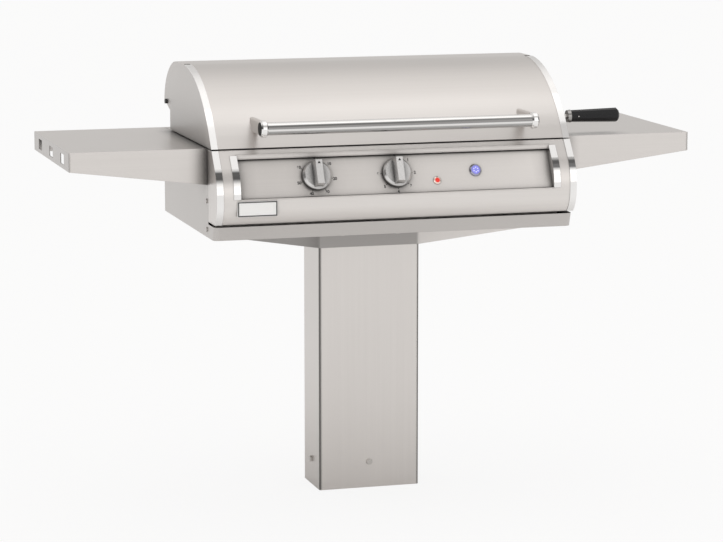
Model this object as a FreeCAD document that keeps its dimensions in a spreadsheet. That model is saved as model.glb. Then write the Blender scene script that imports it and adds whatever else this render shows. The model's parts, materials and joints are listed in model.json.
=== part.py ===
import FreeCAD, Part
import math
import os
import types

import Sketcher

# Pedestal grill: an electric grill with a lifting hood and two side shelves, carried by one square post.
# Millimetres. X runs across the grill, Y from front to back, Z up from the floor.
# The origin lies on the floor, in the middle of the post.

doc = FreeCAD.newDocument("PedestalGrill")

# Driving dimensions
dimensions = {
    # The whole grill
    "bodyWidth": (762, "width of hood and housing"),
    "seamHeight": (759, "floor to the joint between hood and housing"),
    "frontReach": (235, "post centre to the hood's lower front edge"),
    "backReach": (203, "post centre to the back of the shell"),
    "seamGap": (3, "open joint under the hood"),
    "sheetGauge": (1.5, "sheet of shell, housing and shelves"),
    # Post and floor bracket
    "postWidth": (220, "post, across"),
    "postDepth": (124, "post, front to back"),
    "postWall": (2, "sheet of the post"),
    "postCorner": (5, "outer bend radius of the post"),
    "basePlateGauge": (8, "floor plate of the base bracket"),
    "baseWallGauge": (4, "upright walls of the base bracket"),
    "baseWallRise": (82, "height of those walls above the floor"),
    "baseFit": (0.4, "gap between base bracket and post"),
    "anchorSpanX": (150, "anchor holes, across"),
    "anchorSpanY": (70, "anchor holes, front to back"),
    "anchorHole": (11, "diameter of an anchor hole"),
    "cableHole": (40, "diameter of the cable hole in floor plate and cap"),
    "postBoltRise": (56, "floor to the post bolts"),
    "capGauge": (5, "plate that closes the top of the post"),
    "capBoltInset": (24, "bolts of that plate, in from its edges"),
    # Bolts
    "boltSize": (8, "shank of the large bolts"),
    "boltHead": (13, "large bolt head, across corners"),
    "boltHeadRise": (4.5, "large bolt head, height"),
    "boltFit": (0.1, "radial gap round a large bolt"),
    "boltTail": (3, "how far a bolt stands past what it holds"),
    "screwSize": (4.8, "shank of the small screws"),
    "screwHead": (9, "small screw head, diameter"),
    "screwHeadRise": (2.4, "small screw head, height"),
    "screwFit": (0.1, "radial gap round a small screw"),
    # Head brackets between post and shell
    "headRise": (54, "height of the head brackets"),
    "headGauge": (3, "sheet of the head brackets"),
    "wingReach": (352, "outer end of a wing, from the middle"),
    "wingFront": (215, "how far the front wings come forward"),
    "wingBack": (180, "how far the rear wings go back"),
    "wingTip": (6, "height left at the end of a wing"),
    "flangeWidth": (26, "top flange of a wing"),
    "webBoltX": (60, "bolts through the web, from the middle"),
    "webBoltDrop": (19, "top of the post to those bolts"),
    "wingBoltShare": (0.62, "place of a wing's bolt along the wing, as a share of its length"),
    "wingBoltInset": (15.6, "wing to the bolt through its flange"),
    # Outer shell
    "shellDrop": (183, "joint to the underside of the shell"),
    "lipRise": (28, "height of the front lip"),
    "lipTopForward": (25, "lip's upper edge, ahead of the hood's edge"),
    "lipFootForward": (16, "lip's lower edge, ahead of the hood's edge"),
    "lipCorner": (12, "rounding of the lip's corners"),
    "cheekBack": (30, "side joint between housing and shell, behind the hood's edge"),
    "shellTopDrop": (2, "top of shell and shelves under the joint"),
    "cheekGap": (0.8, "open joint between the housing's cheeks and the shell"),
    "strapWidth": (18, "straps that join housing and shell, behind the joint"),
    "sideScrewBack": (11, "side screws, behind that joint"),
    "sideScrewHigh": (109, "joint to the upper side screws"),
    "sideScrewLow": (167, "joint to the lower side screws"),
    # Control housing
    "housingDrop": (150, "joint to the housing's lower edge"),
    "noseAngle": (52.6, "angle of the housing's sloped face, degrees"),
    "noseRadius": (90, "upper rounding of the housing"),
    "noseForward": (47, "front of the housing, ahead of the hood's edge"),
    "noseFlat": (12, "upright stretch between the roundings"),
    "lowerRadius": (61, "lower rounding of the housing"),
    "trimWidth": (14, "bright trims at both ends"),
    "trimProud": (1.2, "how far the trims stand proud"),
    # Recess with the control panel
    "stripGap": (21, "bright trim at an end to the bright strip beside the recess"),
    "recessTop": (13, "joint to the top of the recess"),
    "recessLip": (8, "height of the turned-down lip over the panel"),
    "recessFoot": (97, "joint to the foot of the recess"),
    "stripWidth": (13, "bright strips beside the recess"),
    "panelTilt": (25, "panel, leaning back from upright, degrees"),
    "panelForward": (39, "panel's lower edge, ahead of the hood's edge"),
    "panelFit": (0.3, "gap round the panel"),
    # Controls
    "knobX": (169, "spacing of knobs and button"),
    "knobDrop": (58.5, "joint to the knob axes, at the panel"),
    "knobSize": (60, "diameter of a knob's skirt"),
    "knobRim": (9, "height of the skirt's rim"),
    "knobFace": (14, "panel to the knob's face"),
    "knobFaceSize": (52, "diameter of that face"),
    "knobRise": (33, "panel to the top of the grip bar"),
    "knobFloat": (1, "gap between knob and panel"),
    "gripRoot": (1, "how far the grip bar is let into the knob's face"),
    "boreRoof": (2, "metal between the shaft's end and the knob's face"),
    "gripWidth": (20, "foot of the grip bar, across"),
    "gripTopWidth": (14, "top of the grip bar, across"),
    "gripLength": (50, "top of the grip bar, along"),
    "shaftSize": (6, "control shafts"),
    "shaftFit": (0.06, "running gap of a shaft in its control"),
    "shaftDepth": (14, "how far a shaft goes into its control"),
    "controlWidth": (46, "timer and thermostat bodies, across"),
    "controlDepth": (30, "timer and thermostat bodies, deep"),
    "collarSize": (12, "threaded collar of a control"),
    "lampX": (84.5, "lamp, from the middle"),
    "lampDrop": (75.5, "joint to the lamp"),
    "lampBezel": (16, "diameter of the lamp's bezel"),
    "lampLens": (10, "diameter of the lamp's lens"),
    "lampRise": (3, "height of bezel above the panel"),
    "lampDepth": (22, "lamp body behind the panel"),
    "buttonBezel": (25, "diameter of the button's bezel"),
    "buttonSize": (18, "diameter of the button's cap"),
    "buttonRise": (4, "height of the bezel"),
    "buttonTravel": (2.5, "travel of the button"),
    "buttonFit": (0.3, "gap round the button"),
    "buttonCrown": (1, "bevel round the top of the button"),
    "buttonSlide": (0.05, "running gap round the button in its switch"),
    "behindFace": (0.2, "switch and collars, short of the panel's face"),
    "buttonBarrel": (18.5, "diameter of the switch behind the panel"),
    "buttonDepth": (30, "switch behind the panel"),
    "plateWidth": (82, "blank plate, across"),
    "plateHeight": (31, "blank plate, up"),
    "plateOut": (6, "outer end of the blank plate, beyond the recess"),
    "plateDrop": (116.5, "joint to the middle of the blank plate"),
    "plateGauge": (2, "thickness of the blank plate"),
    "plateRoot": (15, "how far that plate's block reaches into the curve behind it"),
    # Hood
        "hoodAngle": (56, "angle of the hood's lower front, degrees"),
    "straightRise": (24.37, "height of the hood's straight lower front"),
    "frontRadius": (285, "front rounding of the hood"),
    "crownBack": (306.7, "middle of the rear rounding, behind the hood's edge"),
    "rearRadius": (146, "rear rounding of the hood"),
    "rearAngle": (44.4, "turn of that rounding, degrees"),
    "tailRadius": (79, "tail rounding of the hood"),
    "notchRise": (58, "joint to the tail's lower corner"),
    "notchInner": (41, "joint to the notch's inner corner"),
    "hoodDepth": (377, "depth of the hood at the joint"),
    "hoodGauge": (1.2, "sheet of the hood"),
    "linerGap": (10, "hood skin to liner"),
    "linerGauge": (0.8, "sheet of the hood's liner"),
    "trimBack": (229, "upper end of the hood trims, behind the hood's edge"),
    "trimSlot": (20, "slot that the end of a trim goes into"),
    "hingeBack": (408, "hinge axis, behind the hood's edge"),
    "hingeRise": (57, "hinge axis above the joint"),
    "hingePin": (8, "diameter of a hinge pin"),
    "hingeFit": (0.08, "running gap round a hinge pin"),
    "hingeEye": (11, "radius of a hinge bracket's eye"),
    "hingeRoom": (3, "gap round that eye in the hood's slot"),
    "hingeGauge": (5, "sheet of a hinge bracket"),
    "hingeInset": (16, "hinge bracket, in from the hood's side"),
    "hingeFoot": (44, "length of a hinge bracket's foot"),
    "hingeFootWidth": (22, "width of that foot"),
    "hingeFootGauge": (3, "thickness of that foot"),
    "pinHead": (10, "diameter of a hinge pin's head"),
    "pinHeadRise": (4, "height of that head"),
    "pinFloat": (0.4, "gap between that head and the hood's side"),
    "hoodFlange": (12, "flange inside the lower edge of a hood side"),
    "bumperBack": (48, "rubber stops, behind the hood's edge"),
    "bumperSize": (12, "diameter of the hood's rubber stops"),
    # Hood handle
    "handleForward": (48, "handle axis, ahead of the hood's edge"),
    "handleRise": (43.5, "handle axis above the joint"),
    "handleTube": (26, "diameter of the handle"),
    "handleWall": (1.5, "wall of the handle"),
    "handleHalf": (278, "half the length of the bare tube"),
    "capSize": (34, "diameter of the end caps"),
    "capLength": (14, "length of an end cap"),
    "capEdge": (3, "bevel of an end cap"),
    "armWidth": (12, "handle arm, across"),
    "armHeight": (29, "handle arm, up"),
    "armCorner": (4, "rounding of a handle arm"),
    "capBore": (8, "how far the tube goes into a cap"),
    "armScrewReach": (12, "how far a screw goes into an arm"),
    # Side handle
    "sideHandleBack": (70, "side handle, behind the hood's edge"),
    "sideHandleRise": (36, "side handle above the joint"),
    "studSize": (10, "stud of the side handle"),
    "studCollar": (16, "collar of that stud against the hood"),
    "studInGrip": (75, "how far the stud goes into the grip"),
    "nutSize": (19, "nut of that stud, across corners"),
    "nutRise": (6, "height of that nut"),
    "crossPin": (2.5, "diameter of the pin through the grip"),
    "crossPinIn": (16, "ferrule to that pin"),
    "studGap": (20, "bare length of that stud"),
    "ferruleSize": (27.5, "diameter of the ferrule"),
    "ferruleLength": (7, "length of the ferrule"),
    "gripReach": (107, "length of the side grip"),
    "gripInner": (25, "side grip, across at the ferrule"),
    "gripOuter": (30, "side grip, across at its end"),
    "gripSides": (10, "flats round the side grip"),
    "gripNose": (4, "bevel at the grip's end"),
    # Shelves
    "shelfLength": (281, "shelf, out from the shell"),
    "shelfDepth": (400, "shelf, front to back"),
    "shelfInner": (74, "apron height at the shell"),
    "shelfOuter": (39, "apron height at the outer end"),
    "shelfBoltInset": (40, "shelf bolts, in from the shelf's front and back"),
    "slotPitch": (127, "tool slots, spacing"),
    "slotWidth": (38, "tool slot, along"),
    "slotHeight": (21, "tool slot, up"),
    "slotDrop": (9.5, "shelf top to a tool slot"),
    # Firebox
    "boxHalf": (350, "half the inside width of the firebox"),
    "boxFront": (48, "inside front of the firebox, behind the hood's edge"),
    "boxDepth": (312, "inside depth of the firebox"),
    "boxFloorDrop": (128, "joint to the firebox floor"),
    "boxGauge": (1.2, "sheet of the firebox"),
    "ledgeDrop": (26, "joint to the ledge that carries the grids"),
    "ledgeWidth": (12, "width of that ledge"),
    "shieldGap": (8, "firebox to heat shield"),
    "shieldSide": (9, "heat shield to the shell's side walls"),
    "trayHalf": (310, "half the width of the drip tray"),
    "trayDepth": (270, "drip tray, front to back"),
    "trayRise": (14, "height of the drip tray"),
    "trayGauge": (1, "sheet of the drip tray"),
    "elementSize": (9, "heating element, across its flats"),
    "elementSides": (8, "flats round the element's sheath"),
    "tailRoom": (0.8, "gap round the element's tails in the firebox wall"),
    "elementDrop": (66, "joint to the middle of the element"),
    "elementReach": (285, "straight runs of the element, from the middle"),
    "elementPitch": (66, "spacing of the element's runs"),
    "elementFront": (44, "firebox front to the element's first run"),
    "elementTails": (22, "element tails, from the middle"),
    "tailBend": (22, "bend radius of the element's tails"),
    "supportX": (190, "element supports, from the middle"),
    "supportGauge": (2, "sheet of an element support"),
    "gridGap": (2, "gap round the cooking grids"),
    "gridRod": (8, "bars of a cooking grid, across"),
    "gridBar": (8, "cross bars of a cooking grid"),
    "gridRods": (16, "bars in a cooking grid"),
    "gridBarRise": (10, "height of those bars"),
    "plugWidth": (70, "element plug, across"),
    "plugRise": (30, "element plug, up"),
    "plugDepth": (24, "element plug, front to back"),
    "supportRise": (10, "height of an element support"),
    "probeSize": (6, "diameter of the thermostat's probe"),
    "probeLength": (120, "length of the probe"),
    "probeDrop": (46, "joint to the probe"),
    "probeX": (60, "inner end of the probe, from the middle"),
    "probeIn": (9, "firebox wall to the probe"),
    "probeTube": (3, "diameter of the tube that leads to the probe"),
    # Power box
    "powerWidth": (120, "power box, across"),
    "powerDepth": (84, "power box, front to back"),
    "powerRise": (34, "power box, up"),
    "glandSize": (30, "cable gland, outside"),
    "glandBore": (20, "cable gland, bore"),
    "glandFlange": (44, "cable gland, flange"),
    "glandFlangeGauge": (4, "thickness of that flange"),
    "glandDrop": (24, "how far the gland reaches down into the post"),
}


class Size:
    # A number together with the spreadsheet expression that it comes from.
    def __init__(self, value, text):
        self.value = float(value)
        self.text = text

    def __add__(self, other):
        other = asSize(other)
        return Size(self.value + other.value, "(%s + %s)" % (self.text, other.text))

    def __sub__(self, other):
        other = asSize(other)
        return Size(self.value - other.value, "(%s - %s)" % (self.text, other.text))

    def __mul__(self, other):
        other = asSize(other)
        return Size(self.value * other.value, "(%s * %s)" % (self.text, other.text))

    def __truediv__(self, other):
        other = asSize(other)
        return Size(self.value / other.value, "(%s / %s)" % (self.text, other.text))

    def __radd__(self, other):
        return asSize(other) + self

    def __rsub__(self, other):
        return asSize(other) - self

    def __rmul__(self, other):
        return asSize(other) * self

    def __neg__(self):
        return Size(-self.value, "(0 - %s)" % self.text)


def asSize(number):
    if isinstance(number, Size):
        return number
    return Size(number, "(%r)" % float(number))


def rootOf(size):
    return Size(math.sqrt(size.value), "sqrt(%s)" % size.text)


def sine(angle):
    return Size(math.sin(math.radians(angle.value)), "sin(%s)" % angle.text)


def cosine(angle):
    return Size(math.cos(math.radians(angle.value)), "cos(%s)" % angle.text)


sheet = doc.addObject("Spreadsheet::Sheet", "Sizes")
size = types.SimpleNamespace()
for row, (alias, (value, meaning)) in enumerate(dimensions.items(), start=1):
    sheet.set("A%d" % row, meaning)
    sheet.set("B%d" % row, str(value))
    sheet.setAlias("B%d" % row, alias)
    setattr(size, alias, Size(value, "Sizes." + alias))
doc.recompute()

# Each node of the grill: the name of its file and the object that holds its shape
nodes = {}


def keep(label, thing):
    thing.Label = label
    nodes[label] = thing
    return thing


def bind(thing, prop, amount):
    thing.setExpression(prop, asSize(amount).text)


def moveTo(thing, x, y, z):
    thing.Placement.Base = FreeCAD.Vector(asSize(x).value, asSize(y).value, asSize(z).value)
    bind(thing, "Placement.Base.x", x)
    bind(thing, "Placement.Base.y", y)
    bind(thing, "Placement.Base.z", z)
    return thing


def block(name, x, y, z):
    # A box between the low and the high end of each span.
    thing = doc.addObject("Part::Box", name)
    for prop, span in (("Length", x), ("Width", y), ("Height", z)):
        bind(thing, prop, asSize(span[1]) - span[0])
    return moveTo(thing, x[0], y[0], z[0])


directions = {
    "x": FreeCAD.Rotation(FreeCAD.Vector(0, 0, 1), FreeCAD.Vector(1, 0, 0)),
    "-x": FreeCAD.Rotation(FreeCAD.Vector(0, 0, 1), FreeCAD.Vector(-1, 0, 0)),
    "y": FreeCAD.Rotation(FreeCAD.Vector(0, 0, 1), FreeCAD.Vector(0, 1, 0)),
    "-y": FreeCAD.Rotation(FreeCAD.Vector(0, 0, 1), FreeCAD.Vector(0, -1, 0)),
    "z": FreeCAD.Rotation(),
    "-z": FreeCAD.Rotation(FreeCAD.Vector(0, 0, 1), FreeCAD.Vector(0, 0, -1)),
}


def rod(name, radius, start, length, direction="z"):
    # A round bar from its start point along one axis.
    thing = doc.addObject("Part::Cylinder", name)
    bind(thing, "Radius", radius)
    bind(thing, "Height", length)
    thing.Placement.Rotation = directions[direction]
    return moveTo(thing, *start)


def taper(name, radius, farRadius, start, length, direction="z"):
    thing = doc.addObject("Part::Cone", name)
    bind(thing, "Radius1", radius)
    bind(thing, "Radius2", farRadius)
    bind(thing, "Height", length)
    thing.Placement.Rotation = directions[direction]
    return moveTo(thing, *start)


def hexagon(name, acrossCorners, start, length, direction="z"):
    thing = doc.addObject("Part::Prism", name)
    thing.Polygon = 6
    bind(thing, "Circumradius", acrossCorners / 2)
    bind(thing, "Height", length)
    thing.Placement.Rotation = directions[direction]
    return moveTo(thing, *start)


def fuse(name, *parts):
    thing = doc.addObject("Part::MultiFuse", name)
    thing.Shapes = list(parts)
    thing.Refine = True
    return thing


def cut(name, base, *tools):
    thing = doc.addObject("Part::Cut", name)
    thing.Base = base
    thing.Tool = tools[0] if len(tools) == 1 else fuse(name + "_tools", *tools)
    thing.Refine = True
    return thing


def common(name, first, second):
    thing = doc.addObject("Part::Common", name)
    thing.Base = first
    thing.Tool = second
    return thing


def group(name, *parts):
    # Separate solids that share one node.
    thing = doc.addObject("Part::Compound", name)
    thing.Links = list(parts)
    return thing


def mirrored(name, source, normal=(1, 0, 0)):
    thing = doc.addObject("Part::Mirroring", name)
    thing.Source = source
    thing.Normal = FreeCAD.Vector(*normal)
    return thing


def drawLoop(sketch, path, prefix, closed=True):
    # An outline, closed or open. Each corner is (across, up) or (across, up, radius): a radius makes the edge
    # that leaves the corner an arc, which turns left when it is positive and right when negative.
    count = len(path)
    ends = []
    for index, corner in enumerate(path if closed else path[:-1]):
        here = FreeCAD.Vector(asSize(corner[0]).value, asSize(corner[1]).value, 0)
        following = path[(index + 1) % count]
        there = FreeCAD.Vector(asSize(following[0]).value, asSize(following[1]).value, 0)
        if len(corner) == 2:
            ends.append((sketch.addGeometry(Part.LineSegment(here, there), False), 1, 2))
            continue
        radius = asSize(corner[2]).value
        chord = there - here
        side = math.copysign(1.0, radius)
        rise = math.sqrt(max(radius * radius - chord.Length * chord.Length / 4, 0.0))
        left = FreeCAD.Vector(-chord.y, chord.x, 0).normalize()
        centre = (here + there) * 0.5 + left * (rise * side)
        first, last = (here, there) if side > 0 else (there, here)
        low = math.atan2(first.y - centre.y, first.x - centre.x)
        high = math.atan2(last.y - centre.y, last.x - centre.x)
        circle = Part.Circle(centre, FreeCAD.Vector(0, 0, 1), abs(radius))
        arc = sketch.addGeometry(Part.ArcOfCircle(circle, low, high), False)
        ends.append((arc, 1, 2) if side > 0 else (arc, 2, 1))
    for index, corner in enumerate(path):
        last = not closed and index == count - 1
        edge, begin, end = ends[index - 1] if last else ends[index]
        if last:
            begin = end
        elif closed or index < count - 2:
            nextEdge, nextBegin = ends[(index + 1) % count][:2]
            sketch.addConstraint(Sketcher.Constraint("Coincident", edge, end, nextEdge, nextBegin))
        for kind, amount in (("DistanceX", corner[0]), ("DistanceY", corner[1])):
            name = "%s%s%d" % (prefix, kind[-1], index)
            mark = sketch.addConstraint(Sketcher.Constraint(kind, -1, 1, edge, begin, asSize(amount).value))
            sketch.renameConstraint(mark, name)
            bind(sketch, "Constraints." + name, amount)
        if len(corner) == 3 and not last:
            radius = asSize(corner[2])
            name = "%sR%d" % (prefix, index)
            mark = sketch.addConstraint(Sketcher.Constraint("Radius", edge, abs(radius.value)))
            sketch.renameConstraint(mark, name)
            bind(sketch, "Constraints." + name, radius if radius.value > 0 else -radius)


def profile(name, plane, loops, low, high):
    # A body: outlines on an origin plane, padded from one end to the other along the plane's axis.
    body = doc.addObject("PartDesign::Body", name)
    sketch = body.newObject("Sketcher::SketchObject", name + "_outline")
    origin = [part for part in body.Origin.OriginFeatures if part.Role == plane + "_Plane"][0]
    sketch.AttachmentSupport = [(origin, "")]
    sketch.MapMode = "FlatFace"
    start = -asSize(high) if plane == "XZ" else asSize(low)
    bind(sketch, "AttachmentOffset.Base.z", start)
    if not isinstance(loops[0], list):
        loops = [loops]
    for number, path in enumerate(loops):
        drawLoop(sketch, path, "loop%d" % number)
    pad = body.newObject("PartDesign::Pad", name + "_pad")
    pad.Profile = sketch
    bind(pad, "Length", asSize(high) - low)
    return body


def rectangle(x, y):
    return [(x[0], y[0]), (x[1], y[0]), (x[1], y[1]), (x[0], y[1])]


def roundedRectangle(halfX, halfY, corner, middleX=0, middleY=0):
    left, right = asSize(middleX) - halfX, asSize(middleX) + halfX
    low, high = asSize(middleY) - halfY, asSize(middleY) + halfY
    return [
        (left + corner, low), (right - corner, low, corner),
        (right, low + corner), (right, high - corner, corner),
        (right - corner, high), (left + corner, high, corner),
        (left, high - corner), (left, low + corner, corner),
    ]


def bolt(name, seat, direction, length):
    # Hexagon head on the seat point, shank the other way.
    back = direction[1:] if direction.startswith("-") else "-" + direction
    head = hexagon(name + "_head", size.boltHead, seat, size.boltHeadRise, direction)
    shank = rod(name + "_shank", size.boltSize / 2, seat, length, back)
    return fuse(name, head, shank)


def boltHole(name, seat, direction, length):
    back = direction[1:] if direction.startswith("-") else "-" + direction
    return rod(name, size.boltSize / 2 + size.boltFit, seat, length, back)


def screw(name, seat, direction, length):
    # A small screw: its head stands on the seat, and its shank runs the given way.
    back = direction[1:] if direction.startswith("-") else "-" + direction
    head = rod(name + "_head", size.screwHead / 2, seat, size.screwHeadRise, back)
    shank = rod(name + "_shank", size.screwSize / 2, seat, length, direction)
    return fuse(name, head, shank)


def screwHole(name, seat, direction, length):
    return rod(name, size.screwSize / 2 + size.screwFit, seat, length, direction)


def spanOf(sign, near, far):
    # The span from one distance to a larger one, on the left or the right of the middle.
    return (-asSize(far), -asSize(near)) if sign < 0 else (asSize(near), asSize(far))


# Places that several pieces share
seam = size.seamHeight
front = -size.frontReach
half = size.bodyWidth / 2
shellFloor = seam - size.shellDrop
shellTop = seam - size.shellTopDrop
capTop = shellFloor
postTop = shellFloor - size.capGauge
halfPostX = size.postWidth / 2
halfPostY = size.postDepth / 2
insidePostX = halfPostX - size.postWall
insidePostY = halfPostY - size.postWall

# Post: a folded sheet box that stands over the base bracket
post = profile("postBox", "XY", [
    roundedRectangle(halfPostX, halfPostY, size.postCorner),
    roundedRectangle(insidePostX, insidePostY, size.postCorner - size.postWall),
], 0, postTop)
postBolts = []
postHoles = []
bracketHoles = []
boltGrip = size.postWall + size.baseFit + size.baseWallGauge + size.boltTail
for label, seat, direction in (
    ("front", (0, -halfPostY, size.postBoltRise), "-y"),
    ("rear", (0, halfPostY, size.postBoltRise), "y"),
    ("left", (-halfPostX, 0, size.postBoltRise), "-x"),
    ("right", (halfPostX, 0, size.postBoltRise), "x"),
):
    postBolts.append(bolt("postBolt_" + label, seat, direction, boltGrip))
    postHoles.append(boltHole("postHole_" + label, seat, direction, boltGrip))
    bracketHoles.append(boltHole("bracketHole_" + label, seat, direction, boltGrip))
webBolts = []
webHoles = []
webBoltZ = postTop - size.webBoltDrop
for sideX, sign in (("left", -1), ("right", 1)):
    for sideY, direction in (("front", "-y"), ("rear", "y")):
        reach = halfPostY + size.headGauge
        seat = (sign * size.webBoltX, -reach if direction == "-y" else reach, webBoltZ)
        grip = size.headGauge + size.postWall + size.boltTail
        webBolts.append(bolt("webBolt_%s_%s" % (sideX, sideY), seat, direction, grip))
        webHoles.append(boltHole("webHole_%s_%s" % (sideX, sideY), seat, direction, grip))
keep("post", cut("postBody", post, *(postHoles + webHoles)))
keep("post_bolts", group("postBoltSet", *postBolts))
keep("head_bolts", group("webBoltSet", *webBolts))

# Base bracket: floor plate with anchor holes and a ring of upright walls inside the post
outX = insidePostX - size.baseFit
outY = insidePostY - size.baseFit
baseCorner = size.postCorner - size.postWall
plate = profile("basePlate", "XY", [roundedRectangle(outX, outY, baseCorner)], 0, size.basePlateGauge)
inX = outX - size.baseWallGauge
inY = outY - size.baseWallGauge
walls = profile("baseWalls", "XY", [
    roundedRectangle(outX, outY, baseCorner), rectangle((-inX, inX), (-inY, inY)),
], 0, size.baseWallRise)
anchors = []
for i, signX in enumerate((-1, 1)):
    for j, signY in enumerate((-1, 1)):
        at = (signX * size.anchorSpanX / 2, signY * size.anchorSpanY / 2, -1)
        anchors.append(rod("anchor%d%d" % (i, j), size.anchorHole / 2, at, size.basePlateGauge + 2))
anchors.append(rod("floorCableHole", size.cableHole / 2, (0, 0, -1), size.basePlateGauge + 2))
keep("base_bracket", cut("baseBody", fuse("baseSolid", plate, walls), *(anchors + bracketHoles)))

# Cap: plate on top of the post, with the hole that the cable gland passes
cap = block("capPlate", (-halfPostX, halfPostX), (-halfPostY, halfPostY), (postTop, capTop))
capHole = rod("capHole", size.cableHole / 2, (0, 0, postTop - 1), size.capGauge + 2)
shellBolts = []
shellHoles = []
capBoltX = halfPostX - size.capBoltInset
capBoltY = halfPostY - size.capBoltInset
for i, signX in enumerate((-1, 1)):
    for j, signY in enumerate((-1, 1)):
        seat = (signX * capBoltX, signY * capBoltY, shellFloor + size.sheetGauge)
        grip = size.sheetGauge + size.capGauge + size.boltTail
        shellBolts.append(bolt("capBolt%d%d" % (i, j), seat, "z", grip))
        shellHoles.append(boltHole("capBoltHole%d%d" % (i, j), seat, "z", grip))
keep("post_cap", cut("capBody", cap, capHole, *shellHoles))


def headBracket(name, wingEnd):
    # A folded plate: a web on the post's face and two wings that spread to the shell's corners.
    # It is drawn for the front of the post.
    inner = -halfPostY
    outer = inner - size.headGauge
    spreadX = size.wingReach - halfPostX
    spreadY = wingEnd - halfPostY
    slant = rootOf(spreadX * spreadX + spreadY * spreadY)
    shift = size.headGauge * (slant - spreadX) / spreadY
    turn = size.headGauge * spreadY / slant
    rise = size.headGauge * spreadX / slant
    tipX = size.wingReach
    tipY = -wingEnd
    band = [
        (halfPostX, inner), (tipX, tipY), (tipX - turn, tipY - rise),
        (halfPostX - shift, outer), (shift - halfPostX, outer), (turn - tipX, tipY - rise),
        (-tipX, tipY), (-halfPostX, inner),
    ]
    flangeBack = size.flangeWidth * slant / spreadX
    flanges = []
    for tag, sign in (("left", -1), ("right", 1)):
        flanges.append(profile("%s_flange_%s" % (name, tag), "XY", [
            (sign * halfPostX, inner), (sign * tipX, tipY),
            (sign * tipX, tipY + flangeBack), (sign * halfPostX, inner + flangeBack),
        ], shellFloor - size.headGauge, shellFloor))
    walls = profile(name + "_band", "XY", band, shellFloor - size.headRise, shellFloor)
    lowFar = tipY - size.headRise
    under = []
    for tag, sign in (("left", -1), ("right", 1)):
        under.append(profile("%s_under_%s" % (name, tag), "XZ", [
            (sign * halfPostX, shellFloor - size.headRise - 1),
            (sign * (tipX + 1), shellFloor - size.headRise - 1),
            (sign * (tipX + 1), shellFloor - size.wingTip),
            (sign * tipX, shellFloor - size.wingTip),
            (sign * halfPostX, shellFloor - size.headRise),
        ], lowFar, inner + size.flangeWidth))
    return cut(name + "_trimmed", fuse(name + "_solid", walls, *flanges), *under)


frontHead = headBracket("frontHead", size.wingFront)
rearHead = mirrored("rearHeadMirror", headBracket("rearHead", size.wingBack), (0, 1, 0))
wingHoles = []
for i, signX in enumerate((-1, 1)):
    for j, (signY, reachY) in enumerate(((-1, size.wingFront), (1, size.wingBack))):
        x = signX * (halfPostX + (size.wingReach - halfPostX) * size.wingBoltShare)
        line = halfPostY + (reachY - halfPostY) * size.wingBoltShare
        seat = (x, signY * (line - size.wingBoltInset), shellFloor + size.sheetGauge)
        grip = size.sheetGauge + size.headGauge + size.boltTail
        shellBolts.append(bolt("wingBolt%d%d" % (i, j), seat, "z", grip))
        wingHoles.append(boltHole("wingBoltHole%d%d" % (i, j), seat, "z", grip))
keep("head_bracket_front", cut("frontHeadBody", frontHead, fuse("frontHeadHoles", *(webHoles + wingHoles))))
keep("head_bracket_rear", cut("rearHeadBody", rearHead, fuse("rearHeadHoles", *(webHoles + wingHoles))))
keep("shell_bolts", group("shellBoltSet", *shellBolts))

# Outer shell: an open tub whose floor runs forward to a low leaning lip
lipTopY = front - size.lipTopForward
lipFootY = front - size.lipFootForward
lipTop = shellFloor + size.lipRise
cheek = front + size.cheekBack
gauge = size.sheetGauge
inHalf = half - gauge
recessHalf = half - size.trimWidth - size.stripGap - size.stripWidth
tub = profile("tub", "YZ", [
    (lipFootY, shellFloor), (size.backReach, shellFloor), (size.backReach, shellTop),
    (cheek, shellTop), (cheek, lipTop), (lipTopY, lipTop),
], -half, half)
tubInside = profile("tubInside", "YZ", [
    (lipFootY + gauge, shellFloor + gauge), (size.backReach - gauge, shellFloor + gauge),
    (size.backReach - gauge, shellTop + 1), (lipTopY + gauge, shellTop + 1), (lipTopY + gauge, lipTop),
], -inHalf, inHalf)
doc.recompute()


def roundFront(name, solid, radius, reach):
    # Rounds the two upright edges at the front of a tub.
    edges = []
    for number, edge in enumerate(solid.Shape.Edges, start=1):
        low, high = edge.BoundBox.YMin, edge.BoundBox.YMax
        upright = edge.BoundBox.ZLength > size.lipRise.value / 2 and edge.BoundBox.XLength < 0.01
        if upright and high < reach.value and abs(edge.BoundBox.XMax) > inHalf.value - 1:
            edges.append((number, radius.value, radius.value))
    thing = doc.addObject("Part::Fillet", name)
    thing.Base = solid
    thing.Edges = edges
    return thing


tubRound = roundFront("tubRound", tub, size.lipCorner, front)
tubInsideRound = roundFront("tubInsideRound", tubInside, size.lipCorner - gauge, front)
glandHole = rod("glandHole", size.glandSize / 2, (0, 0, shellFloor - 1), gauge + 2)
shelfBack = size.backReach
shelfFront = shelfBack - size.shelfDepth
shelfMid = shelfBack - size.shelfDepth / 2
shelfBolts = []
shelfBoltHoles = []
for side, sign in (("left", -1), ("right", 1)):
    for tag, share in (("front", -1), ("rear", 1)):
        seatY = shelfMid + share * (size.shelfDepth / 2 - size.shelfBoltInset)
        seat = (sign * inHalf, seatY, shellTop - size.shelfInner / 2)
        inward = "-x" if sign > 0 else "x"
        grip = 2 * gauge + size.boltTail
        shelfBolts.append(bolt("shelfBolt_%s_%s" % (side, tag), seat, inward, grip))
        shelfBoltHoles.append(boltHole("shelfBoltHole_%s_%s" % (side, tag), seat, inward, grip))
keep("shelf_bolts", group("shelfBoltSet", *shelfBolts))

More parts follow.
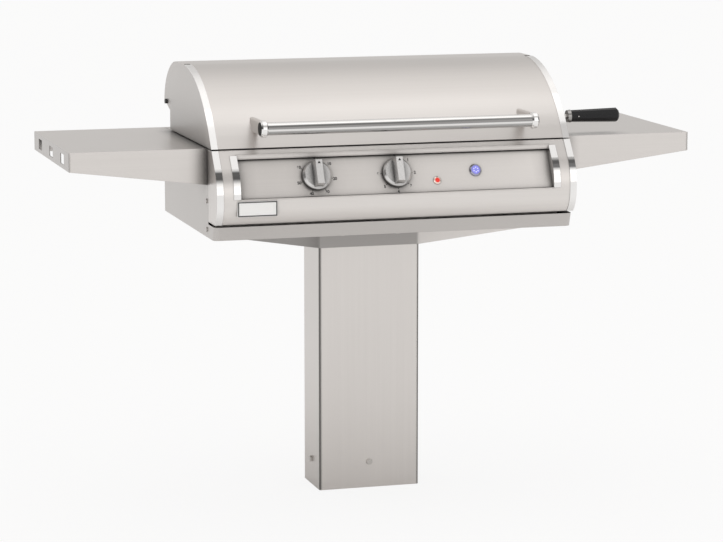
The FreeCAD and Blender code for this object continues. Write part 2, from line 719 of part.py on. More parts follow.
# Side shelves: tapered trays, open below, with tool slots in their outer ends
for side, sign in (("left", -1), ("right", 1)):
    inner = sign * half
    outer = sign * (half + size.shelfLength)
    tray = profile("shelf_%s_solid" % side, "XZ", [
        (inner, shellTop), (outer, shellTop),
        (outer, shellTop - size.shelfOuter), (inner, shellTop - size.shelfInner),
    ], shelfFront, shelfBack)
    hollow = block("shelf_%s_hollow" % side, (
        (outer + gauge, inner - gauge) if sign < 0 else (inner + gauge, outer - gauge)
    ), (shelfFront + gauge, shelfBack - gauge), (shellTop - size.shelfInner - 1, shellTop - gauge))
    slots = []
    for number in (-1, 0, 1):
        middle = shelfMid + number * size.slotPitch
        top = shellTop - size.slotDrop
        slots.append(block("shelf_%s_slot%d" % (side, number + 1), (
            (outer - 1, outer + 2 * gauge) if sign < 0 else (outer - 2 * gauge, outer + 1)
        ), (middle - size.slotWidth / 2, middle + size.slotWidth / 2), (top - size.slotHeight, top)))
    keep("shelf_" + side, cut("shelf_%s_body" % side, tray, hollow, *(slots + shelfBoltHoles)))

# Control housing: sloped face, two roundings and cheeks, open at the back


def noseCurve(offset, top, foot):
    # The housing's outline from a height above the slope's tangent point down to one below it,
    # moved out by an offset. Its corners run downward, so its arcs turn left.
    slope = size.noseAngle
    upper = size.noseRadius + offset
    nose = front - size.noseForward
    run = (size.noseForward - size.noseRadius * (1 - sine(slope))) / cosine(slope)
    centreY = nose + size.noseRadius
    centreZ = seam - run * sine(slope) - size.noseRadius * cosine(slope)
    touchY = centreY - upper * sine(slope)
    touchZ = centreZ + upper * cosine(slope)
    startY = touchY + (top - touchZ) * cosine(slope) / sine(slope)
    points = [(startY, top), (touchY, touchZ, upper), (nose - offset, centreZ)]
    lowZ = centreZ - size.noseFlat
    if foot.value >= lowZ.value:
        return points + [(nose - offset, foot)]
    lower = size.lowerRadius + offset
    dip = lowZ - foot
    endY = nose + size.lowerRadius - rootOf(lower * lower - dip * dip)
    return points + [(nose - offset, lowZ, lower), (endY, foot)]


housingTop = seam - size.seamGap
housingFoot = seam - size.housingDrop
outline = noseCurve(asSize(0), housingTop, housingFoot)
housingBack = cheek - size.cheekGap
housing = profile("housingSolid", "YZ", outline + [
    (housingBack, housingFoot), (housingBack, housingTop),
], -half, half)
inside = noseCurve(-gauge, housingTop - gauge, housingFoot + gauge)
housingInside = profile("housingInside", "YZ", inside + [
    (cheek + 1, housingFoot + gauge), (cheek + 1, housingTop - gauge),
], -inHalf, inHalf)
panelLean = sine(size.panelTilt) / cosine(size.panelTilt)
footZ = seam - size.recessFoot
topZ = seam - size.recessTop
lipZ = topZ - size.recessLip
panelY = front - size.panelForward


def onPanel(height):
    # Where the panel's face lies at a height.
    return panelY + (height - footZ) * panelLean


recess = block("recessCut", (-recessHalf, recessHalf),
               (front - size.noseForward - 1, cheek - gauge), (footZ, topZ))
lipFront = noseCurve(asSize(0), topZ, footZ)[0][0]
visor = block("visor", (-recessHalf, recessHalf), (lipFront, lipFront + gauge),
              (lipZ, topZ + gauge))
sill = block("sill", (-recessHalf, recessHalf),
             (front - size.noseForward + gauge, panelY + 2 * gauge), (footZ - gauge, footZ))
shellHousing = cut("housingShell", housing, housingInside, recess)
straps = []
sideScrews = []
sideScrewHoles = []
for side, sign in (("left", -1), ("right", 1)):
    inward = "-x" if sign > 0 else "x"
    straps.append(block("strap_" + side, spanOf(sign, inHalf - gauge, inHalf), (
        housingBack - size.strapWidth, cheek + size.strapWidth,
    ), (housingFoot + gauge, housingTop - 2 * gauge)))
    for tag, drop in (("high", size.sideScrewHigh), ("low", size.sideScrewLow)):
        seat = (sign * half, cheek + size.sideScrewBack, seam - drop)
        sideScrews.append(screw("sideScrew_%s_%s" % (side, tag), seat, inward, 2 * gauge + size.boltTail))
        sideScrewHoles.append(screwHole("sideScrewHole_%s_%s" % (side, tag), seat, inward,
                                        2 * gauge + size.boltTail))
keep("side_screws", group("sideScrewSet", *sideScrews))
housingJoined = fuse("housingJoined", shellHousing, visor, sill, *straps)
keep("control_housing", cut("housingBody", housingJoined, *sideScrewHoles))
keep("outer_shell", cut("shellBody", tubRound, tubInsideRound, glandHole,
                        *(shellHoles + wingHoles + shelfBoltHoles + sideScrewHoles)))


def band(face, proud):
    # A closed strip between an outline and the same outline moved out.
    back = []
    for index in range(len(face) - 1, -1, -1):
        corner = face[index]
        before = face[index - 1] if index else corner
        bent = index > 0 and len(before) == 3
        back.append((corner[0], corner[1], -before[2]) if bent else (corner[0], corner[1]))
    return proud + back


# Bright trims on the housing's ends, and bright strips with side walls beside the recess
for side, sign in (("left", -1), ("right", 1)):
    span = spanOf(sign, half - size.trimWidth, half)
    strip = band(outline, noseCurve(size.trimProud, housingTop, housingFoot))
    keep("housing_trim_" + side, profile("housingTrim_" + side, "YZ", strip, span[0], span[1]))
    inner = recessHalf
    span = spanOf(sign, inner, inner + size.stripWidth)
    strip = band(noseCurve(asSize(0), topZ, footZ), noseCurve(size.trimProud, topZ, footZ))
    flat = profile("recessStrip_" + side, "YZ", strip, span[0], span[1])
    wall = noseCurve(size.trimProud, topZ, footZ)
    span = spanOf(sign, inner - gauge, inner)
    cheekWall = profile("recessWall_" + side, "YZ", wall + [
        (onPanel(footZ), footZ), (onPanel(topZ), topZ),
    ], span[0], span[1])
    visorNotch = block("recessWallNotch_" + side, (span[0] - 1, span[1] + 1),
                       (lipFront - size.panelFit, front + size.cheekBack), (lipZ - size.panelFit, topZ + 1))
    trimSolid = fuse("recessTrimSolid_" + side, flat, cheekWall)
    keep("recess_trim_" + side, cut("recessTrim_" + side, trimSolid, visorNotch))

# Control panel: a flat plate that leans back between the recess walls
panelHalf = recessHalf - gauge - size.panelFit
panelBottom = footZ + size.panelFit
panelTop = topZ - size.panelFit
panelThick = size.sheetGauge / cosine(size.panelTilt)
panelSolid = profile("panelSolid", "YZ", [
    (onPanel(panelBottom), panelBottom), (onPanel(panelTop), panelTop),
    (onPanel(panelTop) + panelThick, panelTop), (onPanel(panelBottom) + panelThick, panelBottom),
], -panelHalf, panelHalf)
visorBack = lipFront + gauge + size.panelFit
behindVisor = block("behindVisor", (-half, half), (front - size.noseForward, visorBack), (lipZ, topZ + 1))
lean = 90 - size.panelTilt


def faceOut(thing, x, drop):
    # Sets a piece, drawn about the Z axis, square on the panel.
    height = seam - drop
    thing.Placement.Rotation = FreeCAD.Rotation(FreeCAD.Vector(1, 0, 0), lean.value)
    bind(thing, "Placement.Rotation.Angle", lean)
    return moveTo(thing, x, onPanel(height), height)


def aboutAxis(name, loop, x=None, drop=None):
    # A turned piece: its half outline, radius across and height up, swept round the Z axis.
    body = doc.addObject("PartDesign::Body", name)
    sketch = body.newObject("Sketcher::SketchObject", name + "_outline")
    origin = [part for part in body.Origin.OriginFeatures if part.Role == "XZ_Plane"][0]
    sketch.AttachmentSupport = [(origin, "")]
    sketch.MapMode = "FlatFace"
    drawLoop(sketch, loop, "turn")
    turned = body.newObject("PartDesign::Revolution", name + "_turn")
    turned.Profile = sketch
    turned.ReferenceAxis = (sketch, ["V_Axis"])
    turned.Angle = 360
    return body if x is None else faceOut(body, x, drop)


def ring(outer, inner, low, high):
    return [(inner, low), (outer, low), (outer, high), (inner, high)]


def disc(radius, low, high):
    return [(0, low), (radius, low), (radius, high), (0, high)]


def panelHole(name, radius, x, drop):
    return aboutAxis(name, disc(radius, -size.controlDepth, size.controlDepth), x, drop)


zero = asSize(0)
knobPlaces = (("timer", -size.knobX), ("thermostat", zero))
panelHoles = []
for label, x in knobPlaces:
    panelHoles.append(panelHole(label + "Hole", size.collarSize / 2 + size.screwFit, x, size.knobDrop))
panelHoles.append(panelHole("lampHole", size.lampLens / 2 + size.screwFit, size.lampX, size.lampDrop))
panelHoles.append(panelHole("buttonHole", size.buttonBarrel / 2 + size.buttonFit, size.knobX, size.knobDrop))
keep("control_panel", cut("panelBody", panelSolid, behindVisor, *panelHoles))

# Knobs: a bevelled skirt with a tapering grip bar, each on the shaft of its control
shaftEnd = size.knobFace - size.boreRoof
for label, x in knobPlaces:
    radius = size.knobSize / 2
    faceRadius = size.knobFaceSize / 2
    skirt = aboutAxis(label + "_skirt", [
        (0, size.knobFloat), (radius, size.knobFloat), (radius, size.knobRim),
        (faceRadius, size.knobFace), (0, size.knobFace),
    ])
    grip = doc.addObject("Part::Wedge", label + "_grip")
    for prop, amount in (
        ("Xmin", -size.gripWidth / 2), ("Xmax", size.gripWidth / 2),
        ("Zmin", -faceRadius), ("Zmax", faceRadius),
        ("X2min", -size.gripTopWidth / 2), ("X2max", size.gripTopWidth / 2),
        ("Z2min", -size.gripLength / 2), ("Z2max", size.gripLength / 2),
        ("Ymin", 0), ("Ymax", size.knobRise - size.knobFace + size.gripRoot),
    ):
        bind(grip, prop, amount)
    grip.Placement.Rotation = FreeCAD.Rotation(FreeCAD.Vector(1, 0, 0), 90)
    moveTo(grip, 0, 0, size.knobFace - size.gripRoot)
    bore = aboutAxis(label + "_bore", disc(size.shaftSize / 2, 0, shaftEnd))
    knob = cut(label + "_knobBody", fuse(label + "_knobSolid", skirt, grip), bore)
    keep(label + "_knob", faceOut(knob, x, size.knobDrop))
    shaftForm = disc(size.shaftSize / 2, -size.shaftDepth, shaftEnd)
    keep(label + "_shaft", aboutAxis(label + "_shaftBody", shaftForm, x, size.knobDrop))
    collar = aboutAxis(label + "_collar", disc(size.collarSize / 2, -panelThick, -size.behindFace))
    side = size.controlWidth / 2
    case = block(label + "_case", (-side, side), (-side, side), (-gauge - size.controlDepth, -gauge))
    boreForm = disc(size.shaftSize / 2 + size.shaftFit, -size.shaftDepth - size.knobFloat, size.knobFloat)
    shaftBore = aboutAxis(label + "_shaftBore", boreForm)
    control = cut(label + "_control", fuse(label + "_controlSolid", case, collar), shaftBore)
    keep(label + "_body", faceOut(control, x, size.knobDrop))

# Lamp and push button
keep("lamp_bezel", aboutAxis("lampBezelBody", [
    (size.lampLens / 2 + size.screwFit, 0), (size.lampBezel / 2, 0), (size.lampBezel / 2, size.lampRise / 2),
    (size.lampLens / 2 + 1, size.lampRise), (size.lampLens / 2 + size.screwFit, size.lampRise),
], size.lampX, size.lampDrop))
keep("lamp_lens", aboutAxis("lampLensBody", [
    (0, -size.lampDepth), (size.lampLens / 2, -size.lampDepth), (size.lampLens / 2, size.lampRise),
    (size.lampLens / 4, size.lampRise + size.lampLens / 8), (0, size.lampRise + size.lampLens / 8),
], size.lampX, size.lampDrop))
buttonRadius = size.buttonSize / 2
barrel = size.buttonBarrel / 2
keep("button_bezel", aboutAxis("buttonBezelBody", [
    (buttonRadius + size.buttonFit, 0), (size.buttonBezel / 2, 0),
    (size.buttonBezel / 2, size.buttonRise / 2),
    (barrel + size.buttonFit + 1, size.buttonRise), (buttonRadius + size.buttonFit, size.buttonRise),
], size.knobX, size.knobDrop))
capFoot = -size.buttonRise
keep("button_cap", aboutAxis("buttonCapBody", [
    (0, capFoot), (buttonRadius, capFoot), (buttonRadius, size.buttonRise - size.buttonCrown / 2),
    (buttonRadius - size.buttonCrown, size.buttonRise + size.buttonCrown / 2),
    (0, size.buttonRise + size.buttonCrown / 2),
], size.knobX, size.knobDrop))
well = capFoot - size.buttonTravel - size.buttonFit
keep("button_switch", aboutAxis("buttonSwitchBody", [
    (0, -size.buttonDepth), (barrel, -size.buttonDepth), (barrel, -size.behindFace),
    (buttonRadius + size.buttonSlide, -size.behindFace), (buttonRadius + size.buttonSlide, well), (0, well),
], size.knobX, size.knobDrop))

# Blank plate on the lower face of the housing
plateX = size.plateWidth / 2 - recessHalf - size.plateOut
plateZ = seam - size.plateDrop
noseFace = front - size.noseForward
blank = block("blankPlate", (plateX - size.plateWidth / 2, plateX + size.plateWidth / 2),
              (noseFace - size.plateGauge, noseFace + size.plateRoot),
              (plateZ - size.plateHeight / 2, plateZ + size.plateHeight / 2))
backing = profile("plateBacking", "YZ", outline + [
    (housingBack, housingFoot), (housingBack, housingTop),
], -half, half)
keep("blank_plate", cut("blankPlateBody", blank, backing))

# Hood


hoodRise = size.straightRise + size.frontRadius * (1 - cosine(size.hoodAngle))


def crown(inset, foot):
    # The hood's outline from its front edge over the crown to the tail's lower corner, moved in.
    slope = size.hoodAngle
    bigRadius = size.frontRadius - inset
    run = size.straightRise / sine(slope)
    centreY = front + run * cosine(slope) + size.frontRadius * sine(slope)
    centreZ = seam + hoodRise - size.frontRadius
    touchY = centreY - bigRadius * sine(slope)
    touchZ = centreZ + bigRadius * cosine(slope)
    startY = touchY - (touchZ - foot) * cosine(slope) / sine(slope)
    topZ = centreZ + bigRadius
    rearY = front + size.crownBack
    rearZ = seam + hoodRise - size.rearRadius
    turn = size.rearAngle
    rear = size.rearRadius - inset
    tailY = rearY + (size.rearRadius - size.tailRadius) * sine(turn)
    tailZ = rearZ + (size.rearRadius - size.tailRadius) * cosine(turn)
    tail = size.tailRadius - inset
    notchZ = seam + size.notchRise + inset
    drop = notchZ - tailZ
    return [
        (startY, foot), (touchY, touchZ, -bigRadius), (centreY, topZ), (rearY, topZ, -rear),
        (rearY + rear * sine(turn), rearZ + rear * cosine(turn), -tail),
        (tailY + rootOf(tail * tail - drop * drop), notchZ),
    ]


def hoodOutline(inset, foot):
    back = front + size.hoodDepth - inset
    return crown(inset, foot) + [(back, seam + size.notchInner + inset), (back, foot)]


hoodFoot = seam
gap = size.hoodGauge
hoodSolid = profile("hoodSolid", "YZ", hoodOutline(zero, hoodFoot), -half, half)
hoodHollow = profile("hoodHollow", "YZ", hoodOutline(gap, hoodFoot - 1), -half - 1, half + 1)
hingeY = front + size.hingeBack
hingeZ = seam + size.hingeRise
hingeSlots = []
trimSlots = []
for side, sign in (("left", -1), ("right", 1)):
    middle = half - size.hingeInset
    span = spanOf(sign, middle - size.hingeGauge, middle + size.hingeGauge)
    hingeSlots.append(block(
        "hingeSlot_" + side, span,
        (hingeY - size.hingeEye - size.hingeRoom, front + size.hoodDepth + hoodRise),
        (seam + size.notchInner, hingeZ + size.hingeEye + size.hingeRoom),
    ))
    span = spanOf(sign, half - size.trimWidth, half - gauge)
    trimEnd = front + size.trimBack
    trimSlots.append(block("trimSlot_" + side, span, (trimEnd, trimEnd + size.trimSlot),
                           (seam + hoodRise - size.linerGap, seam + hoodRise + 1)))

# Hood ends, with the holes for hinge pins and side handle
sideGauge = size.sheetGauge
for side, sign in (("left", -1), ("right", 1)):
    span = spanOf(sign, half - sideGauge, half)
    end = profile("hoodEnd_" + side, "YZ", hoodOutline(gap, hoodFoot), span[0], span[1])
    pinHole = rod("hoodPinHole_" + side, size.hingePin / 2 + size.hingeFit,
                  (span[0] - 1, hingeY, hingeZ), sideGauge + 2, "x")
    tools = [pinHole]
    if sign > 0:
        at = (span[0] - 1, front + size.sideHandleBack, seam + size.sideHandleRise)
        tools.append(rod("studHole", size.studSize / 2 + size.screwFit, at, sideGauge + 2, "x"))
    span = spanOf(sign, half - sideGauge - size.hoodFlange, half - sideGauge)
    reach = (front + size.bumperBack - size.bumperSize, front + size.hoodDepth - size.bumperSize)
    flange = block("hoodEndFlange_" + side, span, reach, (hoodFoot, hoodFoot + sideGauge))
    keep("hood_side_" + side, cut("hoodEndBody_" + side, fuse("hoodEndSolid_" + side, end, flange), *tools))

# Hood liner and the bright trims on the hood's front
linerFoot = seam + size.linerGap
outerLine = crown(size.linerGap, linerFoot)[:4]
innerLine = crown(size.linerGap + size.linerGauge, linerFoot)[:4]
outerLine[3] = outerLine[3][:2]
innerLine[3] = innerLine[3][:2]
linerHalf = half - sideGauge
keep("hood_liner", profile("hoodLiner", "YZ", band(innerLine, outerLine), -linerHalf, linerHalf))


def trimLine(inset):
    # The hood's outline from its front edge up to the end of a trim.
    start, touch, top = crown(inset, seam)[:3]
    end = front + size.trimBack
    radius = size.frontRadius - inset
    centreZ = seam + hoodRise - size.frontRadius
    return [start, touch, (end, centreZ + rootOf(radius * radius - (end - top[0]) * (end - top[0])))]


for side, sign in (("left", -1), ("right", 1)):
    span = spanOf(sign, half - size.trimWidth, half)
    strip = band(trimLine(zero), trimLine(-size.trimProud))
    keep("hood_trim_" + side, profile("hoodTrim_" + side, "YZ", strip, span[0], span[1]))

# Hood handle: a tube in two end caps, each on an arm that runs back to the hood
handleY = front - size.handleForward
handleZ = seam + size.handleRise
tubeEnd = size.handleHalf + size.capBore
tubeRadius = size.handleTube / 2
tubeOut = rod("tubeOut", tubeRadius, (-tubeEnd, handleY, handleZ), 2 * tubeEnd, "x")
tubeIn = rod("tubeIn", tubeRadius - size.handleWall, (-tubeEnd - 1, handleY, handleZ), 2 * tubeEnd + 2, "x")
keep("handle_tube", cut("tubeBody", tubeOut, tubeIn))
caps = []
arms = []
armScrews = []
skinCosine = (size.handleRise - hoodRise + size.frontRadius) / size.frontRadius
skinSine = rootOf(1 - skinCosine * skinCosine)
crownTop = crown(zero, seam)[2]
skinY = crownTop[0] - size.frontRadius * skinSine
skinAngle = Size(math.degrees(math.acos(skinCosine.value)), "acos(%s)" % skinCosine.text)
armHoles = []
for side, sign in (("left", -1), ("right", 1)):
    outward = "x" if sign > 0 else "-x"
    start = (sign * size.handleHalf, handleY, handleZ)
    edge = size.capEdge
    capRadius = size.capSize / 2
    bevelIn = taper("capBevelIn_" + side, capRadius - edge, capRadius, start, edge, outward)
    barrelStart = (sign * (size.handleHalf + edge), handleY, handleZ)
    barrelPart = rod("capBarrel_" + side, capRadius, barrelStart, size.capLength - 2 * edge, outward)
    bevelStart = (sign * (size.handleHalf + size.capLength - edge), handleY, handleZ)
    bevelOut = taper("capBevelOut_" + side, capRadius, capRadius - edge, bevelStart, edge, outward)
    seatBore = rod("capSeat_" + side, tubeRadius, start, size.capBore, outward)
    capSolid = fuse("capSolid_" + side, bevelIn, barrelPart, bevelOut)
    caps.append(cut("capPiece_" + side, capSolid, seatBore))
    middle = sign * (size.handleHalf + size.capLength / 2)
    beam = profile("armBeam_" + side, "XZ", roundedRectangle(
        size.armWidth / 2, size.armHeight / 2, size.armCorner, middle, handleZ,
    ), handleY, front + hoodRise)
    capKeep = rod("capKeep_" + side, capRadius, start, size.capLength, outward)
    seatZ = -gap - size.screwFit
    turned = aboutAxis("armScrew_" + side, [
        (0, seatZ - size.screwHeadRise), (size.screwHead / 2, seatZ - size.screwHeadRise),
        (size.screwHead / 2, seatZ), (size.screwSize / 2, seatZ),
        (size.screwSize / 2, size.armScrewReach), (0, size.armScrewReach),
    ])
    holeForm = disc(size.screwSize / 2 + size.screwFit, -2 * gap, size.armScrewReach)
    hole = aboutAxis("armScrewHole_" + side, holeForm)
    for thing in (turned, hole):
        thing.Placement.Rotation = FreeCAD.Rotation(FreeCAD.Vector(1, 0, 0), skinAngle.value)
        bind(thing, "Placement.Rotation.Angle", skinAngle)
        moveTo(thing, middle, skinY, handleZ)
    armScrews.append(turned)
    armHoles.append(hole)
    arms.append(cut("armPiece_" + side, beam, hoodSolid, capKeep, hole))
keep("handle_caps", group("capSet", *caps))
keep("handle_arms", group("armSet", *arms))
keep("handle_screws", group("armScrewSet", *armScrews))
keep("hood_skin", cut("hoodSkinBody", hoodSolid, hoodHollow, *(hingeSlots + trimSlots + armHoles)))

# Side handle on the right end of the hood
studY = front + size.sideHandleBack
studZ = seam + size.sideHandleRise
ferruleX = half + size.studGap
gripX = ferruleX + size.ferruleLength
studFrom = half - sideGauge - size.nutRise - size.boltTail
studLength = gripX + size.studInGrip - studFrom
stud = rod("studRod", size.studSize / 2, (studFrom, studY, studZ), studLength, "x")
nut = hexagon("studNut", size.nutSize, (half - sideGauge - size.nutRise, studY, studZ), size.nutRise, "x")
collarPiece = rod("studCollar", size.studCollar / 2, (half, studY, studZ), size.boltTail, "x")
ferruleSolid = taper("ferruleSolid", size.gripInner / 2, size.ferruleSize / 2, (ferruleX, studY, studZ),
                     size.ferruleLength, "x")
sections = []
for tag, across, at in (
    ("inner", size.gripInner, gripX),
    ("outer", size.gripOuter, gripX + size.gripReach - size.gripNose),
    ("nose", size.gripOuter - 2 * size.gripNose, gripX + size.gripReach),
):
    polygon = doc.addObject("Part::RegularPolygon", "gripSection_" + tag)
    polygon.Polygon = int(size.gripSides.value)
    bind(polygon, "Polygon", size.gripSides)
    bind(polygon, "Circumradius", across / 2)
    polygon.Placement.Rotation = directions["x"]
    sections.append(moveTo(polygon, at, studY, studZ))
grip = doc.addObject("Part::Loft", "gripLoft")
grip.Sections = sections
grip.Solid = True
grip.Ruled = True
crossX = gripX + size.crossPinIn
crossStart = (crossX, studY - size.gripOuter / 2, studZ)
crossPin = rod("crossPinRod", size.crossPin / 2, crossStart, size.gripOuter / 2, "y")
keep("side_handle_ferrule", cut("ferruleBody", ferruleSolid, stud))
keep("side_handle_grip", cut("gripBody", grip, stud, crossPin))
limitStart = (crossX - size.crossPin, studY, studZ)
pinLimit = rod("crossPinLimit", size.gripInner / 2, limitStart, 2 * size.crossPin, "x")
keep("side_handle_pin", common("crossPinBody", crossPin, pinLimit))
keep("side_handle_stud", cut("studBody", fuse("studSolid", stud, nut, collarPiece), crossPin))

# Hinges: brackets on the firebox flange, pins through the hood's ends
brackets = []
pins = []
hingeScrews = []
hingeScrewHoles = []
for side, sign in (("left", -1), ("right", 1)):
    middle = half - size.hingeInset
    span = spanOf(sign, middle - size.hingeGauge / 2, middle + size.hingeGauge / 2)
    eye = rod("hingeEye_" + side, size.hingeEye, (span[0], hingeY, hingeZ), size.hingeGauge, "x")
    web = profile("hingeWeb_" + side, "YZ", [
        (hingeY - size.hingeEye, hingeZ), (hingeY - size.hingeEye, shellTop),
        (hingeY + size.hingeEye, shellTop), (hingeY + size.hingeEye, hingeZ),
    ], span[0], span[1])
    footSpan = spanOf(sign, middle - size.hingeFootWidth, middle + size.hingeGauge / 2)
    foot = block("hingeFoot_" + side, footSpan, (hingeY - size.hingeFoot / 2, hingeY + size.hingeFoot / 2),
                 (shellTop, shellTop + size.hingeFootGauge))
    eyeStart = (span[0] - 1, hingeY, hingeZ)
    eyeHole = rod("hingeEyeHole_" + side, size.hingePin / 2, eyeStart, size.hingeGauge + 2, "x")
    screwX = sign * (middle - size.hingeFootWidth / 2 - size.hingeGauge / 2)
    holes = []
    for tag, way in (("front", -1), ("rear", 1)):
        seatY = hingeY + way * (size.hingeFoot / 2 - size.screwHead)
        seat = (screwX, seatY, shellTop + size.hingeFootGauge)
        reach = size.hingeFootGauge + size.boxGauge + size.boltTail
        hingeScrews.append(screw("hingeScrew_%s_%s" % (side, tag), seat, "-z", reach))
        holes.append(screwHole("hingeScrewHole_%s_%s" % (side, tag), seat, "-z", reach))
    hingeScrewHoles += holes
    solid = fuse("hingeBracketSolid_" + side, eye, web, foot)
    brackets.append(cut("hingeBracket_" + side, solid, eyeHole, *holes))
    headStart = (sign * (half + size.pinFloat), hingeY, hingeZ)
    outward = "x" if sign > 0 else "-x"
    inward = "-x" if sign > 0 else "x"
    head = rod("pinHead_" + side, size.pinHead / 2, headStart, size.pinHeadRise, outward)
    reach = size.pinFloat + size.hingeInset + size.hingeGauge / 2 + size.boltTail
    shank = rod("pinShank_" + side, size.hingePin / 2, headStart, reach, inward)
    pins.append(fuse("hingePin_" + side, head, shank))
keep("hinge_brackets", group("hingeBracketSet", *brackets))
keep("hinge_screws", group("hingeScrewSet", *hingeScrews))
keep("hinge_pins", group("hingePinSet", *pins))
bumpers = []
for side, sign in (("left", -1), ("right", 1)):
    at = (sign * (half - sideGauge - size.hoodFlange / 2), front + size.bumperBack, shellTop)
    bumpers.append(rod("bumper_" + side, size.bumperSize / 2, at, seam - shellTop))
keep("hood_bumpers", group("bumperSet", *bumpers))

# Firebox: an inner tub that hangs in the shell by its flange, with ledges for the grids
boxFront = front + size.boxFront
boxBack = boxFront + size.boxDepth
boxFloor = seam - size.boxFloorDrop
boxWall = size.boxGauge
ledgeTop = seam - size.ledgeDrop
outside = size.boxHalf + boxWall
boxOut = block("fireboxOut", (-outside, outside), (boxFront - boxWall, boxBack + boxWall),
               (boxFloor - boxWall, shellTop))
flangeFit = size.panelFit
boxFlange = block("fireboxFlange", (-inHalf, inHalf), (cheek + flangeFit, size.backReach - gauge),
                  (shellTop - boxWall, shellTop))
boxIn = block("fireboxIn", (-size.boxHalf, size.boxHalf), (boxFront, boxBack), (boxFloor, shellTop + 1))
ledges = []
for tag, low in (("front", boxFront), ("rear", boxBack - size.ledgeWidth)):
    ledges.append(block("fireboxLedge_" + tag, (-size.boxHalf, size.boxHalf), (low, low + size.ledgeWidth),
                        (ledgeTop - boxWall, ledgeTop)))
elementZ = seam - size.elementDrop
tails = []
for side, sign in (("left", -1), ("right", 1)):
    tails.append(rod("tailHole_" + side, size.elementSize / 2 + size.tailRoom,
                     (sign * size.elementTails, boxFront - boxWall - 1, elementZ), boxWall + 2, "y"))
probeZ = seam - size.probeDrop
probeY = boxFront + size.probeIn
probeStubY = boxFront - boxWall - size.shieldGap - size.plugDepth / 2
probeStub = rod("probeStub", size.probeTube / 2, (size.probeX + size.probeSize, probeStubY, probeZ),
                probeY - probeStubY, "y")
keep("thermostat_probe", fuse("probeBody", probeStub, rod(
    "probeRod", size.probeSize / 2, (size.probeX, probeY, probeZ), size.probeLength, "x")))
boxOpen = cut("fireboxOpen", fuse("fireboxSolid", boxOut, boxFlange), boxIn)
boxJoined = fuse("fireboxJoined", boxOpen, *ledges)
keep("firebox", cut("fireboxBody", boxJoined, probeStub, *(tails + hingeScrewHoles)))

# Heat shield between the firebox and the controls
shieldY = boxFront - boxWall - size.shieldGap
shieldHalf = inHalf - size.shieldSide
shield = block("shieldPlate", (-shieldHalf, shieldHalf), (shieldY - gauge, shieldY),
               (shellFloor + gauge, shellTop - boxWall))
plugY = boxFront - boxWall - size.plugDepth
plugSpanX = (-size.plugWidth / 2, size.plugWidth / 2)
plugSpanZ = (elementZ - size.plugRise / 2, elementZ + size.plugRise / 2)
keep("heat_shield", cut("shieldBody", shield, probeStub, block(
    "plugWindow", plugSpanX, (shieldY - 2 * gauge, shieldY + gauge), plugSpanZ)))

# Heating element: one tube in a level serpentine, both tails in the plug at the front
firstRun = boxFront + size.elementFront
pitch = size.elementPitch
bend = pitch / 2
far = size.elementReach
near = size.elementTails + bend + bend / 2
tail = size.tailBend
inPlug = boxFront - boxWall - size.plugDepth / 2


def halfTurn(x, y, outward, way):
    # Two quarter arcs from one run to the next: outward is the side, way is up or down.
    return [(x, y, bend * (outward * way)), (x + outward * bend, y + way * bend, bend * (outward * way))]


lowY, nextY, thirdY, topY = (firstRun + pitch * step for step in range(4))
atTail = size.elementTails
route = [(-atTail, inPlug), (-atTail, lowY - tail, tail), (-atTail - tail, lowY)]
route += halfTurn(-far, lowY, -1, 1)
route += [(-far, nextY)] + halfTurn(-near, nextY, 1, 1)
route += [(-near, thirdY)] + halfTurn(-far, thirdY, -1, 1)
route += [(-far, topY)] + halfTurn(far, topY, 1, -1)
route += [(far, thirdY)] + halfTurn(near, thirdY, -1, -1)
route += [(near, nextY)] + halfTurn(far, nextY, 1, -1)
route += [(far, lowY), (atTail + tail, lowY, tail), (atTail, lowY - tail), (atTail, inPlug)]
elementBody = doc.addObject("PartDesign::Body", "elementBody")
spine = elementBody.newObject("Sketcher::SketchObject", "element_route")
section = elementBody.newObject("Sketcher::SketchObject", "element_section")
for sketch, role, offset in ((spine, "XY_Plane", elementZ), (section, "XZ_Plane", -inPlug)):
    origin = [part for part in elementBody.Origin.OriginFeatures if part.Role == role][0]
    sketch.AttachmentSupport = [(origin, "")]
    sketch.MapMode = "FlatFace"
    bind(sketch, "AttachmentOffset.Base.z", offset)
drawLoop(spine, route, "run", closed=False)
corners = []
cornerRadius = size.elementSize / 2 / cosine(asSize(180) / size.elementSides)
for number in range(int(size.elementSides.value)):
    angle = asSize(360) * (number + 0.5) / size.elementSides
    corners.append((cornerRadius * cosine(angle) - size.elementTails, elementZ + cornerRadius * sine(angle)))
drawLoop(section, corners, "sheath")
doc.recompute()
pipe = elementBody.newObject("PartDesign::AdditivePipe", "element_tube")
pipe.Profile = section
pipe.Spine = (spine, ["Edge%d" % (number + 1) for number in range(len(route) - 1)])
keep("heating_element", elementBody)
plug = block("plugBlock", plugSpanX, (plugY, boxFront - boxWall), plugSpanZ)
plugBores = []
for side, sign in (("left", -1), ("right", 1)):
    at = (sign * size.elementTails, inPlug, elementZ)
    plugBores.append(rod("plugBore_" + side, cornerRadius, at, size.plugDepth, "y"))
keep("element_plug", cut("plugBody", plug, *plugBores))
supports = []
for side, sign in (("left", -1), ("right", 1)):
    span = spanOf(sign, size.supportX, size.supportX + size.supportGauge)
    foot = elementZ - size.elementSize / 2
    supports.append(block("support_" + side, span, (boxFront, boxBack), (foot - size.supportRise, foot)))
keep("element_supports", group("supportSet", *supports))

